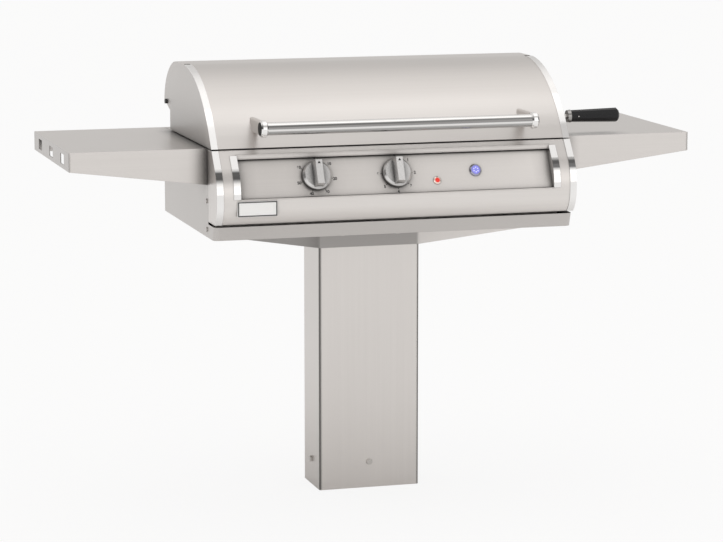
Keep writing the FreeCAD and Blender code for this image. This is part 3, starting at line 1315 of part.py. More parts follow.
# Drip tray on the firebox floor
trayY = (boxFront + boxBack) / 2
trayFront = trayY - size.trayDepth / 2
trayBack = trayY + size.trayDepth / 2
trayOut = block("trayOut", (-size.trayHalf, size.trayHalf), (trayFront, trayBack),
                (boxFloor, boxFloor + size.trayRise))
trayWall = size.trayGauge
trayIn = block("trayIn", (trayWall - size.trayHalf, size.trayHalf - trayWall),
               (trayFront + trayWall, trayBack - trayWall),
               (boxFloor + trayWall, boxFloor + size.trayRise + 1))
keep("drip_tray", cut("trayBody", trayOut, trayIn))

# Cooking grids: bars of lozenge section across two cross bars, side by side in the firebox
for side, sign in (("left", -1), ("right", 1)):
    low, high = spanOf(sign, size.gridGap / 2, size.boxHalf - size.gridGap)
    body = doc.addObject("PartDesign::Body", "grid_" + side)
    planes = {part.Role: part for part in body.Origin.OriginFeatures}
    crossSketch = body.newObject("Sketcher::SketchObject", "grid_%s_cross" % side)
    crossSketch.AttachmentSupport = [(planes["YZ_Plane"], "")]
    crossSketch.MapMode = "FlatFace"
    bind(crossSketch, "AttachmentOffset.Base.z", low)
    for number, at in enumerate((boxFront + size.gridGap, boxBack - size.gridGap - size.gridBar)):
        crossBar = rectangle((at, at + size.gridBar), (ledgeTop, ledgeTop + size.gridBar))
        drawLoop(crossSketch, crossBar, "bar%d" % number)
    crossPad = body.newObject("PartDesign::Pad", "grid_%s_crossPad" % side)
    crossPad.Profile = crossSketch
    bind(crossPad, "Length", high - low)
    rodSketch = body.newObject("Sketcher::SketchObject", "grid_%s_rod" % side)
    rodSketch.AttachmentSupport = [(planes["XZ_Plane"], "")]
    rodSketch.MapMode = "FlatFace"
    bind(rodSketch, "AttachmentOffset.Base.z", -(boxBack - size.gridGap))
    middle = low + size.gridRod / 2
    base = ledgeTop + size.gridBar / 2
    drawLoop(rodSketch, [
        (middle, base), (middle + size.gridRod / 2, base + size.gridBarRise / 2),
        (middle + size.gridRod / 4, base + size.gridBarRise),
        (middle - size.gridRod / 4, base + size.gridBarRise),
        (middle - size.gridRod / 2, base + size.gridBarRise / 2),
    ], "rod")
    rodPad = body.newObject("PartDesign::Pad", "grid_%s_rodPad" % side)
    rodPad.Profile = rodSketch
    bind(rodPad, "Length", size.boxDepth - 2 * size.gridGap)
    row = body.newObject("PartDesign::LinearPattern", "grid_%s_row" % side)
    row.Originals = [rodPad]
    row.Direction = (rodSketch, ["H_Axis"])
    bind(row, "Length", high - low - size.gridRod)
    bind(row, "Occurrences", size.gridRods)
    body.Tip = row
    keep("cooking_grid_" + side, body)

# Power box over the cable gland, both in the middle of the shell's floor
floorTop = shellFloor + gauge
powerX = size.powerWidth / 2
powerY = size.powerDepth / 2
powerOut = block("powerOut", (-powerX, powerX), (-powerY, powerY), (floorTop, floorTop + size.powerRise))
powerIn = block("powerIn", (gauge - powerX, powerX - gauge), (gauge - powerY, powerY - gauge),
                (floorTop + gauge, floorTop + size.powerRise - gauge))
powerHole = rod("powerHole", size.glandSize / 2, (0, 0, floorTop - 1), gauge + 2)
keep("power_box", cut("powerBody", powerOut, powerIn, powerHole))
glandTop = floorTop + gauge + size.glandFlangeGauge
keep("cable_gland", aboutAxis("glandBody", [
    (size.glandBore / 2, shellFloor - size.glandDrop), (size.glandSize / 2, shellFloor - size.glandDrop),
    (size.glandSize / 2, floorTop + gauge), (size.glandFlange / 2, floorTop + gauge),
    (size.glandFlange / 2, glandTop), (size.glandBore / 2, glandTop),
]))

# Check every object, then write one file for each node
doc.recompute()
faults = []
for thing in doc.Objects:
    if "Invalid" in thing.State or "Error" in thing.State:
        faults.append("%s: %s" % (thing.Name, thing.State))
for label, thing in nodes.items():
    shape = thing.Shape
    if shape.isNull() or not shape.isValid() or not shape.Solids:
        faults.append("%s: its shape is not a valid solid" % label)
if faults:
    raise RuntimeError("\n".join(faults))
os.makedirs("parts", exist_ok=True)
for label, thing in nodes.items():
    thing.Shape.exportStep(os.path.join("parts", label + ".step"))
    box = thing.Shape.BoundBox
    print("%-22s solids %2d  volume %9.0f  X %7.1f %7.1f  Y %7.1f %7.1f  Z %6.1f %6.1f" % (
        label, len(thing.Shape.Solids), thing.Shape.Volume,
        box.XMin, box.XMax, box.YMin, box.YMax, box.ZMin, box.ZMax))
print("%d nodes" % len(nodes))
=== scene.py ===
import bpy
import bmesh
import json
import math
from mathutils import Matrix, Vector


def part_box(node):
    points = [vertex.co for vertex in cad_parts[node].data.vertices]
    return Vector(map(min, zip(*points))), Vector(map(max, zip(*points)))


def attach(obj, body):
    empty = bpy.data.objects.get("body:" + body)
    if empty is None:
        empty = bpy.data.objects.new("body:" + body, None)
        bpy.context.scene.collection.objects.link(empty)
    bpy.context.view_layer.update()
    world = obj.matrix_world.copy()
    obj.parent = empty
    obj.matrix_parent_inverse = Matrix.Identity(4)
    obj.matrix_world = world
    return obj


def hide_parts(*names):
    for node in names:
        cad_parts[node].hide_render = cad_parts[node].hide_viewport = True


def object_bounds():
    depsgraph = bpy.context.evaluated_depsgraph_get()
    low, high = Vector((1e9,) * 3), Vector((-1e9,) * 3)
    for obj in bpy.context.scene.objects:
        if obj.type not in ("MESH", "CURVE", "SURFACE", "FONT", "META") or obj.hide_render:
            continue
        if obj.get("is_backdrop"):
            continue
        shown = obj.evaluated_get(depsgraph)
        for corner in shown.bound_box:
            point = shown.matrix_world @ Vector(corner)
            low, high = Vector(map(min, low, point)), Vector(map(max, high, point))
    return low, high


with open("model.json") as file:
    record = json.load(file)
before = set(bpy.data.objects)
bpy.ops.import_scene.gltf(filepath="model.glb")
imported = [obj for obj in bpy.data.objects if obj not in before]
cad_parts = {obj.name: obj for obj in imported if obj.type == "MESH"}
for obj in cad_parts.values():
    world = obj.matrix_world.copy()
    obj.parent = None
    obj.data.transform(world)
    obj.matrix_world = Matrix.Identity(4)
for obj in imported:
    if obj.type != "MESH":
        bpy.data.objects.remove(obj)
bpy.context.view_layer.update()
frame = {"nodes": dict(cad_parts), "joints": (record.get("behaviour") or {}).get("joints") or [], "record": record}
scene = bpy.context.scene
nodes = frame["nodes"]


class Wire:
    # a shader socket that takes part in Python arithmetic
    def __init__(self, graph, socket):
        self.graph = graph
        self.socket = socket

    def maths(self, operation, *values):
        return self.graph.node("Math", {"operation": operation}, dict(enumerate(values)))

    def __add__(self, other):
        return self.maths("ADD", self, other)

    def __radd__(self, other):
        return self.maths("ADD", other, self)

    def __sub__(self, other):
        return self.maths("SUBTRACT", self, other)

    def __rsub__(self, other):
        return self.maths("SUBTRACT", other, self)

    def __mul__(self, other):
        return self.maths("MULTIPLY", self, other)

    def __rmul__(self, other):
        return self.maths("MULTIPLY", other, self)

    def __gt__(self, other):
        return self.maths("GREATER_THAN", self, other)

    def __abs__(self):
        return self.maths("ABSOLUTE", self)


class Graph:
    # a node tree, and the one way its nodes are made
    def __init__(self, tree):
        self.tree = tree
        tree.nodes.clear()

    def node(self, kind, settings=None, values=None, out=0):
        made = self.tree.nodes.new("ShaderNode" + kind)
        for name, value in (settings or {}).items():
            if name == "stops":
                ramp = made.color_ramp.elements
                while len(ramp) < len(value):
                    ramp.new(1.0)
                for element, (position, colour) in zip(ramp, value):
                    element.position = position
                    element.color = (*colour, 1.0)
            else:
                setattr(made, name, value)
        for name, value in (values or {}).items():
            self.put(self.find(made.inputs, name), value)
        return Wire(self, self.find(made.outputs, out))

    def find(self, sockets, name):
        if isinstance(name, int):
            return sockets[name]
        return [socket for socket in sockets if socket.name == name and socket.enabled][0]

    def put(self, socket, value):
        if isinstance(value, Wire):
            self.tree.links.new(value.socket, socket)
        elif socket.type == "RGBA":
            socket.default_value = (*value, 1.0)
        else:
            socket.default_value = value

    def mix(self, factor, first, second, kind="RGBA", blend="MIX"):
        settings = {"data_type": kind, "blend_type": blend}
        return self.node("Mix", settings, {"Factor": factor, "A": first, "B": second}, "Result")

    def split(self, vector, axis):
        return self.node("SeparateXYZ", values={0: vector}, out=axis)

    def ramp(self, value, stops):
        return self.node("ValToRGB", {"stops": stops}, {0: value})

    def remap(self, value, low, high, newLow, newHigh):
        names = ("Value", "From Min", "From Max", "To Min", "To Max")
        return self.node("MapRange", values=dict(zip(names, (value, low, high, newLow, newHigh))))


class Finish(Graph):
    # a material with one main shader
    cornerSamples = 8
    edgeSamples = 4
    # a corner's colour here is painted shade
    openFrom, openTo = 0.5, 0.95       # between these a corner's colour turns into the open one

    def __init__(self, name, **constants):
        self.material = bpy.data.materials.new(name)
        self.material.use_nodes = True
        super().__init__(self.material.node_tree)
        self.shader = self.tree.nodes.new("ShaderNodeBsdfPrincipled")
        self.output = self.tree.nodes.new("ShaderNodeOutputMaterial")
        self.tree.links.new(self.shader.outputs["BSDF"], self.output.inputs["Surface"])
        self.place = self.node("TexCoord", out="Object")
        self.set(**constants)

    def set(self, **values):
        for name, value in values.items():
            self.put(self.shader.inputs[name.replace("_", " ")], value)

    def facing(self, axis):
        # 1 where the surface faces along the axis, 0 where it runs along it
        return abs(self.split(self.node("NewGeometry", out="True Normal"), axis))

    def stretched(self, vector):
        return self.node("VectorMath", {"operation": "MULTIPLY"}, {0: self.place, 1: vector})

    def noise(self, scale, detail=2.0, roughness=0.5, vector=None):
        values = {"Vector": vector or self.place, "Scale": scale, "Detail": detail, "Roughness": roughness}
        return self.node("TexNoise", values=values)

    def bump(self, height, distance, normal=None):
        values = {"Height": height, "Distance": distance}
        if normal:
            values["Normal"] = normal
        return self.node("Bump", values=values)

    def paintedCornerShade(self, colour, reach, cornerShade):
        # painted shade: the colour, turning to the other one in corners and under things nearer than the reach
        openness = self.node("AmbientOcclusion", {"samples": self.cornerSamples}, {"Distance": reach}, "AO")
        return self.mix(self.remap(openness, self.openFrom, self.openTo, 0.0, 1.0), cornerShade, colour)

    def paintedLight(self, colour, value, low, high, stops, where=1.0):
        # painted light and shade: the colour times a share that follows a value from low to high
        along = self.remap(value, low, high, 0.0, 1.0)
        shares = self.ramp(along, [((at - low) / (high - low), (share,) * 3) for at, share in stops])
        return self.mix(where, colour, shares, blend="MULTIPLY")

    def rounded(self, radius):
        return self.node("Bevel", {"samples": self.edgeSamples}, {"Radius": radius})


# studio

studio = {
    "lens": 139.16,            # mm on a 36 mm sensor
    "place": (-1.652, -5.6457, 1.430),
    "pitch": 9.38,             # degrees down
    "yaw": -16.32,
    "floorColour": (0.95, 0.945, 0.94),
    "floorGrain": 40.0,
    "floorGrainShare": 0.985,
    "floorWhite": 0.85,        # share of plain white in the floor that the camera sees
    "floorInMetal": (0.12, 0.60),      # the same in the floor that metal and glass show, near and far
    "nearAndFar": (0.45, 1.3),         # metres from the post
    "floorReach": 60.0,
    # light from round the studio, by the sine of its height over the horizon
    "front": ((0.0, 1.40), (0.08, 1.36), (0.18, 1.34), (0.30, 1.26), (0.42, 1.0), (0.52, 0.66),
              (0.58, 0.50), (0.66, 0.56), (0.76, 0.74), (0.85, 0.60), (0.91, 0.66), (1.0, 1.25)),
    "back": ((0.0, 0.77), (0.15, 0.76), (0.35, 0.66), (0.60, 0.73), (0.85, 1.02), (1.0, 1.25)),
    "frontToBack": (-0.35, 0.25),      # where the front's light turns into the back's
    "darkSides": (0.80, 0.92, 0.12),   # from where to where across, and the level there
    "warmth": (1.0, 0.985, 0.97),
    "strength": 2.0,           # a ramp's colours end at 1, so they are held as shares of this
}
camera = bpy.data.objects.new("camera", bpy.data.cameras.new("camera"))
scene.collection.objects.link(camera)
camera.data.lens = studio["lens"]
camera.data.sensor_width = 36
camera.location = studio["place"]
camera.rotation_euler = (math.radians(90 - studio["pitch"]), 0, math.radians(studio["yaw"]))
camera.data.clip_end = 200
scene.camera = camera


def walls(levels):
    strength = studio["strength"]
    stops = [(at, tuple(level * c / strength for c in studio["warmth"])) for at, level in levels]
    return room.ramp(height, stops)


world = bpy.data.worlds.new("studioWorld")
scene.world = world
world.use_nodes = True
room = Graph(world.node_tree)
direction = room.node("TexCoord", out="Generated")
height = room.split(direction, "Z")
frontShare = room.remap(room.split(direction, "Y"), *studio["frontToBack"], 1.0, 0.0)
roomColour = room.mix(frontShare, walls(studio["back"]), walls(studio["front"]))
sideFrom, sideTo, sideLevel = studio["darkSides"]
sideways = room.remap(abs(room.split(direction, "X")), sideFrom, sideTo, 0.0, 1.0)
roomColour = room.mix(sideways, roomColour, (sideLevel / studio["strength"],) * 3)
roomLight = room.node("Background", values={"Color": roomColour, "Strength": studio["strength"]})
worldOutput = room.tree.nodes.new("ShaderNodeOutputWorld")
room.put(worldOutput.inputs["Surface"], roomLight)

floorFinish = Finish("paperFloor", Roughness=0.9, Specular_IOR_Level=0.0)
paper = studio["floorColour"]
grain = floorFinish.noise(studio["floorGrain"])
grainy = tuple(c * studio["floorGrainShare"] for c in paper)
floorFinish.set(Base_Color=floorFinish.mix(grain, paper, grainy))
rays = ("Is Camera Ray", "Is Glossy Ray", "Is Transmission Ray")
byCamera, inMetal, inGlass = [floorFinish.node("LightPath", out=ray) for ray in rays]
away = floorFinish.node("VectorMath", {"operation": "LENGTH"}, {0: floorFinish.place}, "Value")
# metal and glass see less plain white in the floor near the post, so the floor reads darker there: the paper's
# real shadow, deepened as painted shade
shareInMetal = floorFinish.remap(away, *studio["nearAndFar"], *studio["floorInMetal"])
whiteShare = byCamera * studio["floorWhite"] + (inMetal + inGlass) * shareInMetal
plainWhite = floorFinish.node("Emission", values={"Color": (1, 1, 1), "Strength": 1.0})
paperShader = Wire(floorFinish, floorFinish.shader.outputs["BSDF"])
floorLook = floorFinish.node("MixShader", values={0: whiteShare, 1: paperShader, 2: plainWhite})
floorFinish.put(floorFinish.output.inputs["Surface"], floorLook)
reach = studio["floorReach"]
floorMesh = bpy.data.meshes.new("floor")
floorCorners = [(-reach, -reach, 0), (reach, -reach, 0), (reach, reach, 0), (-reach, reach, 0)]
floorMesh.from_pydata(floorCorners, [], [(0, 1, 2, 3)])
floor = bpy.data.objects.new("floor", floorMesh)
floor.data.materials.append(floorFinish.material)
scene.collection.objects.link(floor)
floor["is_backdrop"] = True

lamps = {
    # name: place, what it points at, size across and up, brightness where a white wall is 1
    "softboxRight": ((2.4, -3.2, 3.0), (0.3, -0.2, 0.7), 2.2, 1.8, 0.45),
    "softboxTop": ((0.6, -1.2, 4.0), (0, -0.1, 0.8), 3.0, 1.8, 0.42),
    "softboxLeft": ((-3.4, 1.6, 2.6), (0, 0, 0.7), 1.8, 1.8, 0.15),
}
for name, (spot, aim, across, high, brightness) in lamps.items():
    light = bpy.data.lights.new(name, "AREA")
    light.shape = "RECTANGLE"
    light.size, light.size_y = across, high
    light.energy = brightness * math.pi * across * high
    lamp = bpy.data.objects.new(name, light)
    lamp.location = spot
    lamp.rotation_euler = (Vector(spot) - Vector(aim)).to_track_quat("Z", "Y").to_euler()
    scene.collection.objects.link(lamp)
print("studio ready")

# finishes

steel = {
    "colour": (0.640, 0.612, 0.590),
    "pale": (0.690, 0.662, 0.640),
    "roughness": 0.32,
    "fineGrain": 1500.0,       # brush lines per metre, across the grain
    "wideGrain": 170.0,
    "grainStretch": 2.2,
    "cloudScale": 4.5,
    "wideInShade": 0.6,        # shares of the wide grain and the clouds, beside the fine grain
    "cloudInShade": 0.4,
    "shadeMiddle": 1.0,        # noise lies about 0.5, so this brings the shade to lie about 0
    "cloudRoughness": 0.06,
    "fineInBrush": 0.7,
    "wideInBrush": 0.3,
    "squareFrom": 0.75,        # how squarely a face meets an axis before it counts as square to it
    "brushDepth": 0.00003,
    "edge": 0.0006,            # how far a folded edge is rounded
    "foldWidth": 0.005,
    "foldStrength": (0.05, 0.32),
    "spread": 0.4,             # metres from the middle that the shares across are given for
}
polish = {
    "cloudScale": 9.0,
    "cloudShare": 0.95,        # of the colour
    "cloudRoughness": 0.04,
    "hairScale": (3, 420, 420),
    "hairRoughness": 0.03,
    "hairDepth": 0.000003,
    "edge": 0.0004,
    "front": (-0.2, 0.0),      # a surface faces the front fully, and not at all
}
casting = {
    "cloudScale": 14.0,
    "pebbleShare": 0.86,       # of the colour
    "pebbleRoughness": 0.12,
    "cloudRoughness": 0.1,
    "edge": 0.0005,
}
moulding = {"cloudScale": 30.0, "cloudRoughness": 0.16, "patchLift": 0.004, "edge": 0.0005}
lens = {
    "facetScale": 420.0,
    "facetRange": (0.1, 0.7),  # from the middle of a facet, where it glows, to its edge
    "facetDepth": 0.0001,
    "cloudScale": 180.0,
    "cloudShare": 0.55,        # of the colour
    "roughness": 0.12,
}


def dimmed(colour, share):
    return tuple(c * share for c in colour)


def brushed(name, grainAxis, colours, roughness, streak=0.10, edge=steel["edge"],
            corners=None, endShade=1.0, foldShade=1.0, upward=None, across=None):
    # sheet metal brushed along one axis; faces square to that axis are brushed along another
    # shares of the colour, all painted light and shade: corners is a reach and a share there, for painted shade
    # in corners and under things; the end share and the fold share are one share each, painted shade on faces
    # square to X and along folded corners; and upward and across are lists by facing and by place
    finish = Finish(name, Metallic=1.0)
    otherAxis = "Y" if grainAxis != "Y" else "X"

    def lines(perMetre, axis):
        return finish.stretched([steel["grainStretch"] if at == axis else perMetre for at in "XYZ"])

    def grain(perMetre, detail):
        vector = finish.mix(turned, lines(perMetre, grainAxis), lines(perMetre, otherAxis), "VECTOR")
        return finish.noise(1.0, detail, 0.6, vector)

    turned = finish.facing(grainAxis) > steel["squareFrom"]
    fine = grain(steel["fineGrain"], 3.0)
    wide = grain(steel["wideGrain"], 2.0)
    cloud = finish.noise(steel["cloudScale"], 3.0, 0.55)
    shade = fine + wide * steel["wideInShade"] + cloud * steel["cloudInShade"] - steel["shadeMiddle"]
    metal = finish.mix(finish.remap(shade, -0.5, 0.5, 0.0, 1.0), *colours)
    # painted shade in corners and under things
    if corners:
        metal = finish.paintedCornerShade(metal, corners[0], dimmed(colours[0], corners[1]))
    # painted shade on faces square to X
    if endShade < 1:
        metal = finish.mix((finish.facing("X") > steel["squareFrom"]) * (1 - endShade), metal, (0.0, 0.0, 0.0))
    # painted shade along folded corners
    if foldShade < 1:
        turning = finish.rounded(steel["foldWidth"])
        corner = abs(finish.split(turning, "X") * finish.split(turning, "Y"))
        folded = finish.remap(corner, *steel["foldStrength"], 0.0, 1.0)
        metal = finish.mix(folded, metal, dimmed(colours[0], foldShade))
    # painted light and shade by how far the surface faces up
    if upward:
        normal = finish.node("NewGeometry", out="Normal")
        metal = finish.paintedLight(metal, finish.split(normal, "Z"), -1.0, 1.0, upward)
    # painted light and shade by the place from left to right
    if across:
        fromMiddle = finish.split(finish.place, "X")
        metal = finish.paintedLight(metal, fromMiddle, -steel["spread"], steel["spread"], across)
    finish.set(Base_Color=metal)
    finish.set(Roughness=roughness + shade * streak + (cloud - 0.5) * steel["cloudRoughness"])
    brush = fine * steel["fineInBrush"] + wide * steel["wideInBrush"]
    finish.set(Normal=finish.bump(brush, steel["brushDepth"], finish.rounded(edge)))
    return finish.material


def polished(name, colour, roughness, paintedBands=None):
    finish = Finish(name, Metallic=1.0)
    cloud = finish.noise(polish["cloudScale"], 4.0, 0.6)
    hair = finish.noise(1.0, 2.0, 0.6, finish.stretched(polish["hairScale"]))
    tone = finish.mix(cloud, dimmed(colour, polish["cloudShare"]), colour)
    if paintedBands:
        # painted reflection bands: shares of the colour by how far the surface faces up, on the front only
        normal = finish.node("NewGeometry", out="Normal")
        front = finish.remap(finish.split(normal, "Y"), *polish["front"], 1.0, 0.0)
        tone = finish.paintedLight(tone, finish.split(normal, "Z"), -1.0, 1.0, paintedBands, front)
    finish.set(Base_Color=tone)
    clouded = (cloud - 0.5) * polish["cloudRoughness"]
    finish.set(Roughness=roughness + clouded + (hair - 0.5) * polish["hairRoughness"])
    finish.set(Normal=finish.bump(hair, polish["hairDepth"], finish.rounded(polish["edge"])))
    return finish.material


def cast(name, colour, roughness, lump, depth, corners=None):
    # plated or zinc-coated metal with a fine pebbly skin
    finish = Finish(name, Metallic=1.0)
    pebble = finish.noise(lump, 3.0, 0.6)
    cloud = finish.noise(casting["cloudScale"])
    metal = finish.mix(pebble * 0.5 + cloud * 0.5, dimmed(colour, casting["pebbleShare"]), colour)
    # painted shade in corners and under things
    if corners:
        metal = finish.paintedCornerShade(metal, corners[0], dimmed(colour, corners[1]))
    finish.set(Base_Color=metal)
    pebbled = (pebble - 0.5) * casting["pebbleRoughness"]
    finish.set(Roughness=roughness + pebbled + (cloud - 0.5) * casting["cloudRoughness"])
    finish.set(Normal=finish.bump(pebble, depth, finish.rounded(casting["edge"])))
    return finish.material


def moulded(name, colour, roughness, lump=900.0, depth=0.00002, patch=1.25, gloss=0.5):
    finish = Finish(name, Specular_IOR_Level=gloss)
    pebble = finish.noise(lump)
    cloud = finish.noise(moulding["cloudScale"], 3.0)
    patches = tuple(c * patch + moulding["patchLift"] for c in colour)
    finish.set(Base_Color=finish.mix(cloud, colour, patches))
    finish.set(Roughness=roughness + (cloud - 0.5) * moulding["cloudRoughness"])
    finish.set(Normal=finish.bump(pebble, depth, finish.rounded(moulding["edge"])))
    return finish.material


def lit(name, colour, glow, strength):
    # a lens with small facets and a light behind it
    finish = Finish(name, Roughness=lens["roughness"], Emission_Strength=strength)
    values = {"Vector": finish.place, "Scale": lens["facetScale"]}
    facets = finish.node("TexVoronoi", values=values, out="Distance")
    cloud = finish.noise(lens["cloudScale"])
    finish.set(Base_Color=finish.mix(cloud, dimmed(colour, lens["cloudShare"]), colour))
    fromMiddle = finish.remap(facets, *lens["facetRange"], 0.0, 1.0)
    finish.set(Emission_Color=finish.mix(fromMiddle, glow, colour))
    finish.set(Normal=finish.bump(facets, lens["facetDepth"]))
    return finish.material


def sheet(share):
    # the steel's two colours, a share as bright; a share other than 1 makes a lighter or darker copy of the same
    # steel, as painted light or shade
    return dimmed(steel["colour"], share), dimmed(steel["pale"], share)


paintedShades = {
    # painted light, shade and reflections: shares by how far the surface faces up, from -1 to 1
    "housing": ((-1.0, 0.80), (-0.85, 0.80), (-0.65, 0.98), (-0.30, 0.95),
                (0.05, 0.84), (0.35, 0.78), (0.60, 0.75), (1.0, 0.80)),
    # a painted dark reflection band across the front of the trims
    "trim": ((-1.0, 1.0), (0.30, 1.0), (0.36, 0.70), (0.40, 0.20),
             (0.53, 0.16), (0.57, 0.65), (0.62, 1.0), (1.0, 1.0)),
    # painted reflection bands round the handle tube
    "tube": ((-1.0, 0.55), (-0.38, 0.55), (-0.30, 1.0), (-0.06, 1.0),
             (0.04, 0.30), (0.52, 0.34), (0.64, 1.0), (1.0, 1.0)),
    # painted shade on the front head bracket: shares by the place from left to right, in metres
    "head": ((-0.19, 0.42), (-0.145, 0.39), (-0.116, 0.31), (-0.108, 0.385),
             (0.104, 0.385), (0.110, 0.76), (0.16, 0.80), (0.28, 0.86)),
}
brightSteel = (0.90, 0.89, 0.88)
# satin steel copies: a sheet share other than 1, a corner share and the share lists paint light and shade
satinAcross = brushed("satinSteelAcross", "X", sheet(1), steel["roughness"])
satinUp = brushed("satinSteelUp", "Z", sheet(1), steel["roughness"], 0.06, foldShade=0.22)
satinBody = brushed("satinSteelBody", "X", sheet(0.86), 0.34, 0.08, corners=(0.10, 0.25))
satinHoodSide = brushed("satinSteelHoodSide", "X", sheet(0.86), 0.34, 0.08, corners=(0.12, 0.62))
satinShelf = brushed("satinSteelShelf", "Y", sheet(1), steel["roughness"],
                     corners=(0.04, 0.12), endShade=0.80, foldShade=0.4)
satinHousing = brushed("satinSteelHousing", "X", sheet(1.25), steel["roughness"], edge=0.006,
                       corners=(0.10, 0.55), upward=paintedShades["housing"])
satinPanel = brushed("satinSteelPanel", "X", sheet(1.16), steel["roughness"], corners=(0.04, 0.22))
satinHead = brushed("satinSteelHead", "X", sheet(1.30), 0.36, 0.08, across=paintedShades["head"])
satinHeadRear = brushed("satinSteelHeadRear", "X", sheet(0.76), 0.36, 0.08)
inner = brushed("millSteel", "X", ((0.50, 0.47, 0.44), (0.58, 0.56, 0.54)), 0.36, streak=0.16)
bars = brushed("barSteel", "Y", ((0.52, 0.51, 0.50), (0.64, 0.63, 0.62)), 0.26)
fastener = brushed("fastenerSteel", "X", ((0.50, 0.48, 0.46), (0.58, 0.56, 0.54)), 0.28, edge=0.0003)
sideScrew = brushed("sideScrewSteel", "X", sheet(0.86), 0.34, edge=0.0003)
bright = polished("brightSteel", brightSteel, 0.09)
trimMetal = polished("trimSteel", brightSteel, 0.09, paintedBands=paintedShades["trim"])
tubeMetal = polished("tubeSteel", (0.80, 0.79, 0.78), 0.12, paintedBands=paintedShades["tube"])
ferruleMetal = polished("ferruleSteel", (0.36, 0.35, 0.34), 0.20)
buttonMetal = polished("buttonRing", (0.42, 0.42, 0.52), 0.15)
lampMetal = polished("lampRing", (0.92, 0.76, 0.68), 0.12)
knobMetal = cast("knobMetal", (0.86, 0.85, 0.84), 0.27, 1400.0, 0.000004, corners=(0.03, 0.12))
plateWhite = moulded("plateEnamel", (0.90, 0.90, 0.89), 0.35, 1200.0, 0.000004, 1.02)
zinc = cast("zincPlate", (0.60, 0.61, 0.62), 0.38, 160.0, 0.00004)
darkMetal = cast("blackenedMetal", (0.10, 0.10, 0.10), 0.35, 700.0, 0.00002)
sheath = cast("elementSheath", (0.20, 0.185, 0.18), 0.5, 500.0, 0.00003)
gripPlastic = moulded("gripPlastic", (0.006, 0.006, 0.007), 0.24, gloss=0.3)
controlPlastic = moulded("controlPlastic", (0.035, 0.035, 0.038), 0.42)
ceramic = moulded("glazedCeramic", (0.80, 0.77, 0.70), 0.22, 60.0, 0.0001, 1.03)
rubber = moulded("blackRubber", (0.012, 0.012, 0.012), 0.55, gloss=0.2)
redLens = lit("redLens", (0.75, 0.03, 0.02), (0.90, 0.08, 0.04), 0.45)
blueLens = lit("blueLens", (0.20, 0.20, 0.62), (0.34, 0.35, 0.90), 0.6)
pipLight = lit("pipLight", (0.70, 0.74, 1.0), (0.85, 0.88, 1.0), 1.1)

finishes = {
    "satin_stainless": satinAcross,
    "bright_stainless": bright,
    "cast_knob": knobMetal,
    "stainless_fastener": fastener,
    "inner_stainless": inner,
    "zinc_steel": zinc,
    "cooking_bars": bars,
    "element_sheath": sheath,
    "dark_metal": darkMetal,
    "grip_plastic": gripPlastic,
    "control_plastic": controlPlastic,
    "ceramic": ceramic,
    "red_lens": redLens,
    "blue_lens": blueLens,
    "black_rubber": rubber,
}
# most of these are copies of their slot's finish with painted light, shade or reflections
ownFinish = {      # nodes that differ from the rest of their slot
    "post": satinUp, "outer_shell": satinBody,
    "head_bracket_front": satinHead, "head_bracket_rear": satinHeadRear,
    "hood_side_left": satinHoodSide, "hood_side_right": satinHoodSide,
    "shelf_left": satinShelf, "shelf_right": satinShelf,
    "control_housing": satinHousing, "control_panel": satinPanel, "blank_plate": plateWhite,
    "housing_trim_left": trimMetal, "housing_trim_right": trimMetal,
    "recess_trim_left": trimMetal, "recess_trim_right": trimMetal,
    "handle_tube": tubeMetal, "side_handle_ferrule": ferruleMetal,
    "button_bezel": buttonMetal, "lamp_bezel": lampMetal, "side_screws": sideScrew,
}
for row in frame["record"]["subparts"]:
    finish = ownFinish.get(row["node"], finishes[row["material_slot"]])
    for slot in nodes[row["node"]].material_slots:
        slot.link = "OBJECT"
        slot.material = finish
print("finishes ready")

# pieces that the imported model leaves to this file


def addPiece(name, shape, finish, body):
    mesh = bpy.data.meshes.new(name)
    shape.normal_update()
    shape.to_mesh(mesh)
    shape.free()
    mesh.materials.append(finish)
    piece = bpy.data.objects.new(name, mesh)
    scene.collection.objects.link(piece)
    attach(piece, body)
    return piece


def skin(shape, first, second):
    # quads between two loops of as many points
    for n in range(len(first)):
        after = (n + 1) % len(first)
        shape.faces.new((first[n], first[after], second[after], second[n]))


def lathe(shape, outline, axis, sides=48):
    # turns an outline of (radius, height) points round the axis matrix's third direction
    rings = []
    for radius, height in outline:
        angles = [2 * math.pi * n / sides for n in range(sides)]
        points = [Vector((radius * math.cos(angle), radius * math.sin(angle), height)) for angle in angles]
        rings.append([shape.verts.new(axis @ point) for point in points])
    for lower, upper in zip(rings, rings[1:]):
        skin(shape, lower, upper)
    shape.faces.new(rings[-1])
    shape.faces.new(list(reversed(rings[0])))


# dials: printed numbers and ticks on the panel, and a pointer on each knob

joints = {joint["name"]: joint for joint in frame["joints"]}
dial = {
    "marks": {      # by knob: degrees from the first mark to the last, and the marks
        "timer": (300, ("0", "10", "20", "30", "40", "50", "60")),
        "thermostat": (270, ("0", "1", "2", "3", "4", "5", "6")),
    },
    "firstMark": 90,           # degrees, straight up
    "numberRadius": 0.0392,
    "numberSize": 0.0084,
    "numberWeight": 0.0003,
    "tickInner": 0.0314,
    "tickOuter": 0.0342,
    "tickWidth": 0.0013,
    "inkLift": 0.00004,
    "inkGauge": 0.00003,
    "pointerSize": 0.0064,
    "pointerInset": 0.003,
    "pointerSlope": 0.85,      # its height as a share of its width
    "faceDepth": 0.0001,       # points this near the top of a knob belong to its face
}
ink = moulded("printedInk", (0.025, 0.025, 0.025), 0.6, 2500.0, 0.000004, 1.5, 0.2)


def onPanel(joint):
    # across, up and out of the sloping panel at a knob's axis
    outward = -Vector(joint["axis"])
    across = Vector((1, 0, 0))
    matrix = Matrix((across, outward.cross(across), outward)).transposed().to_4x4()
    matrix.translation = joint["pos_m"]
    return matrix


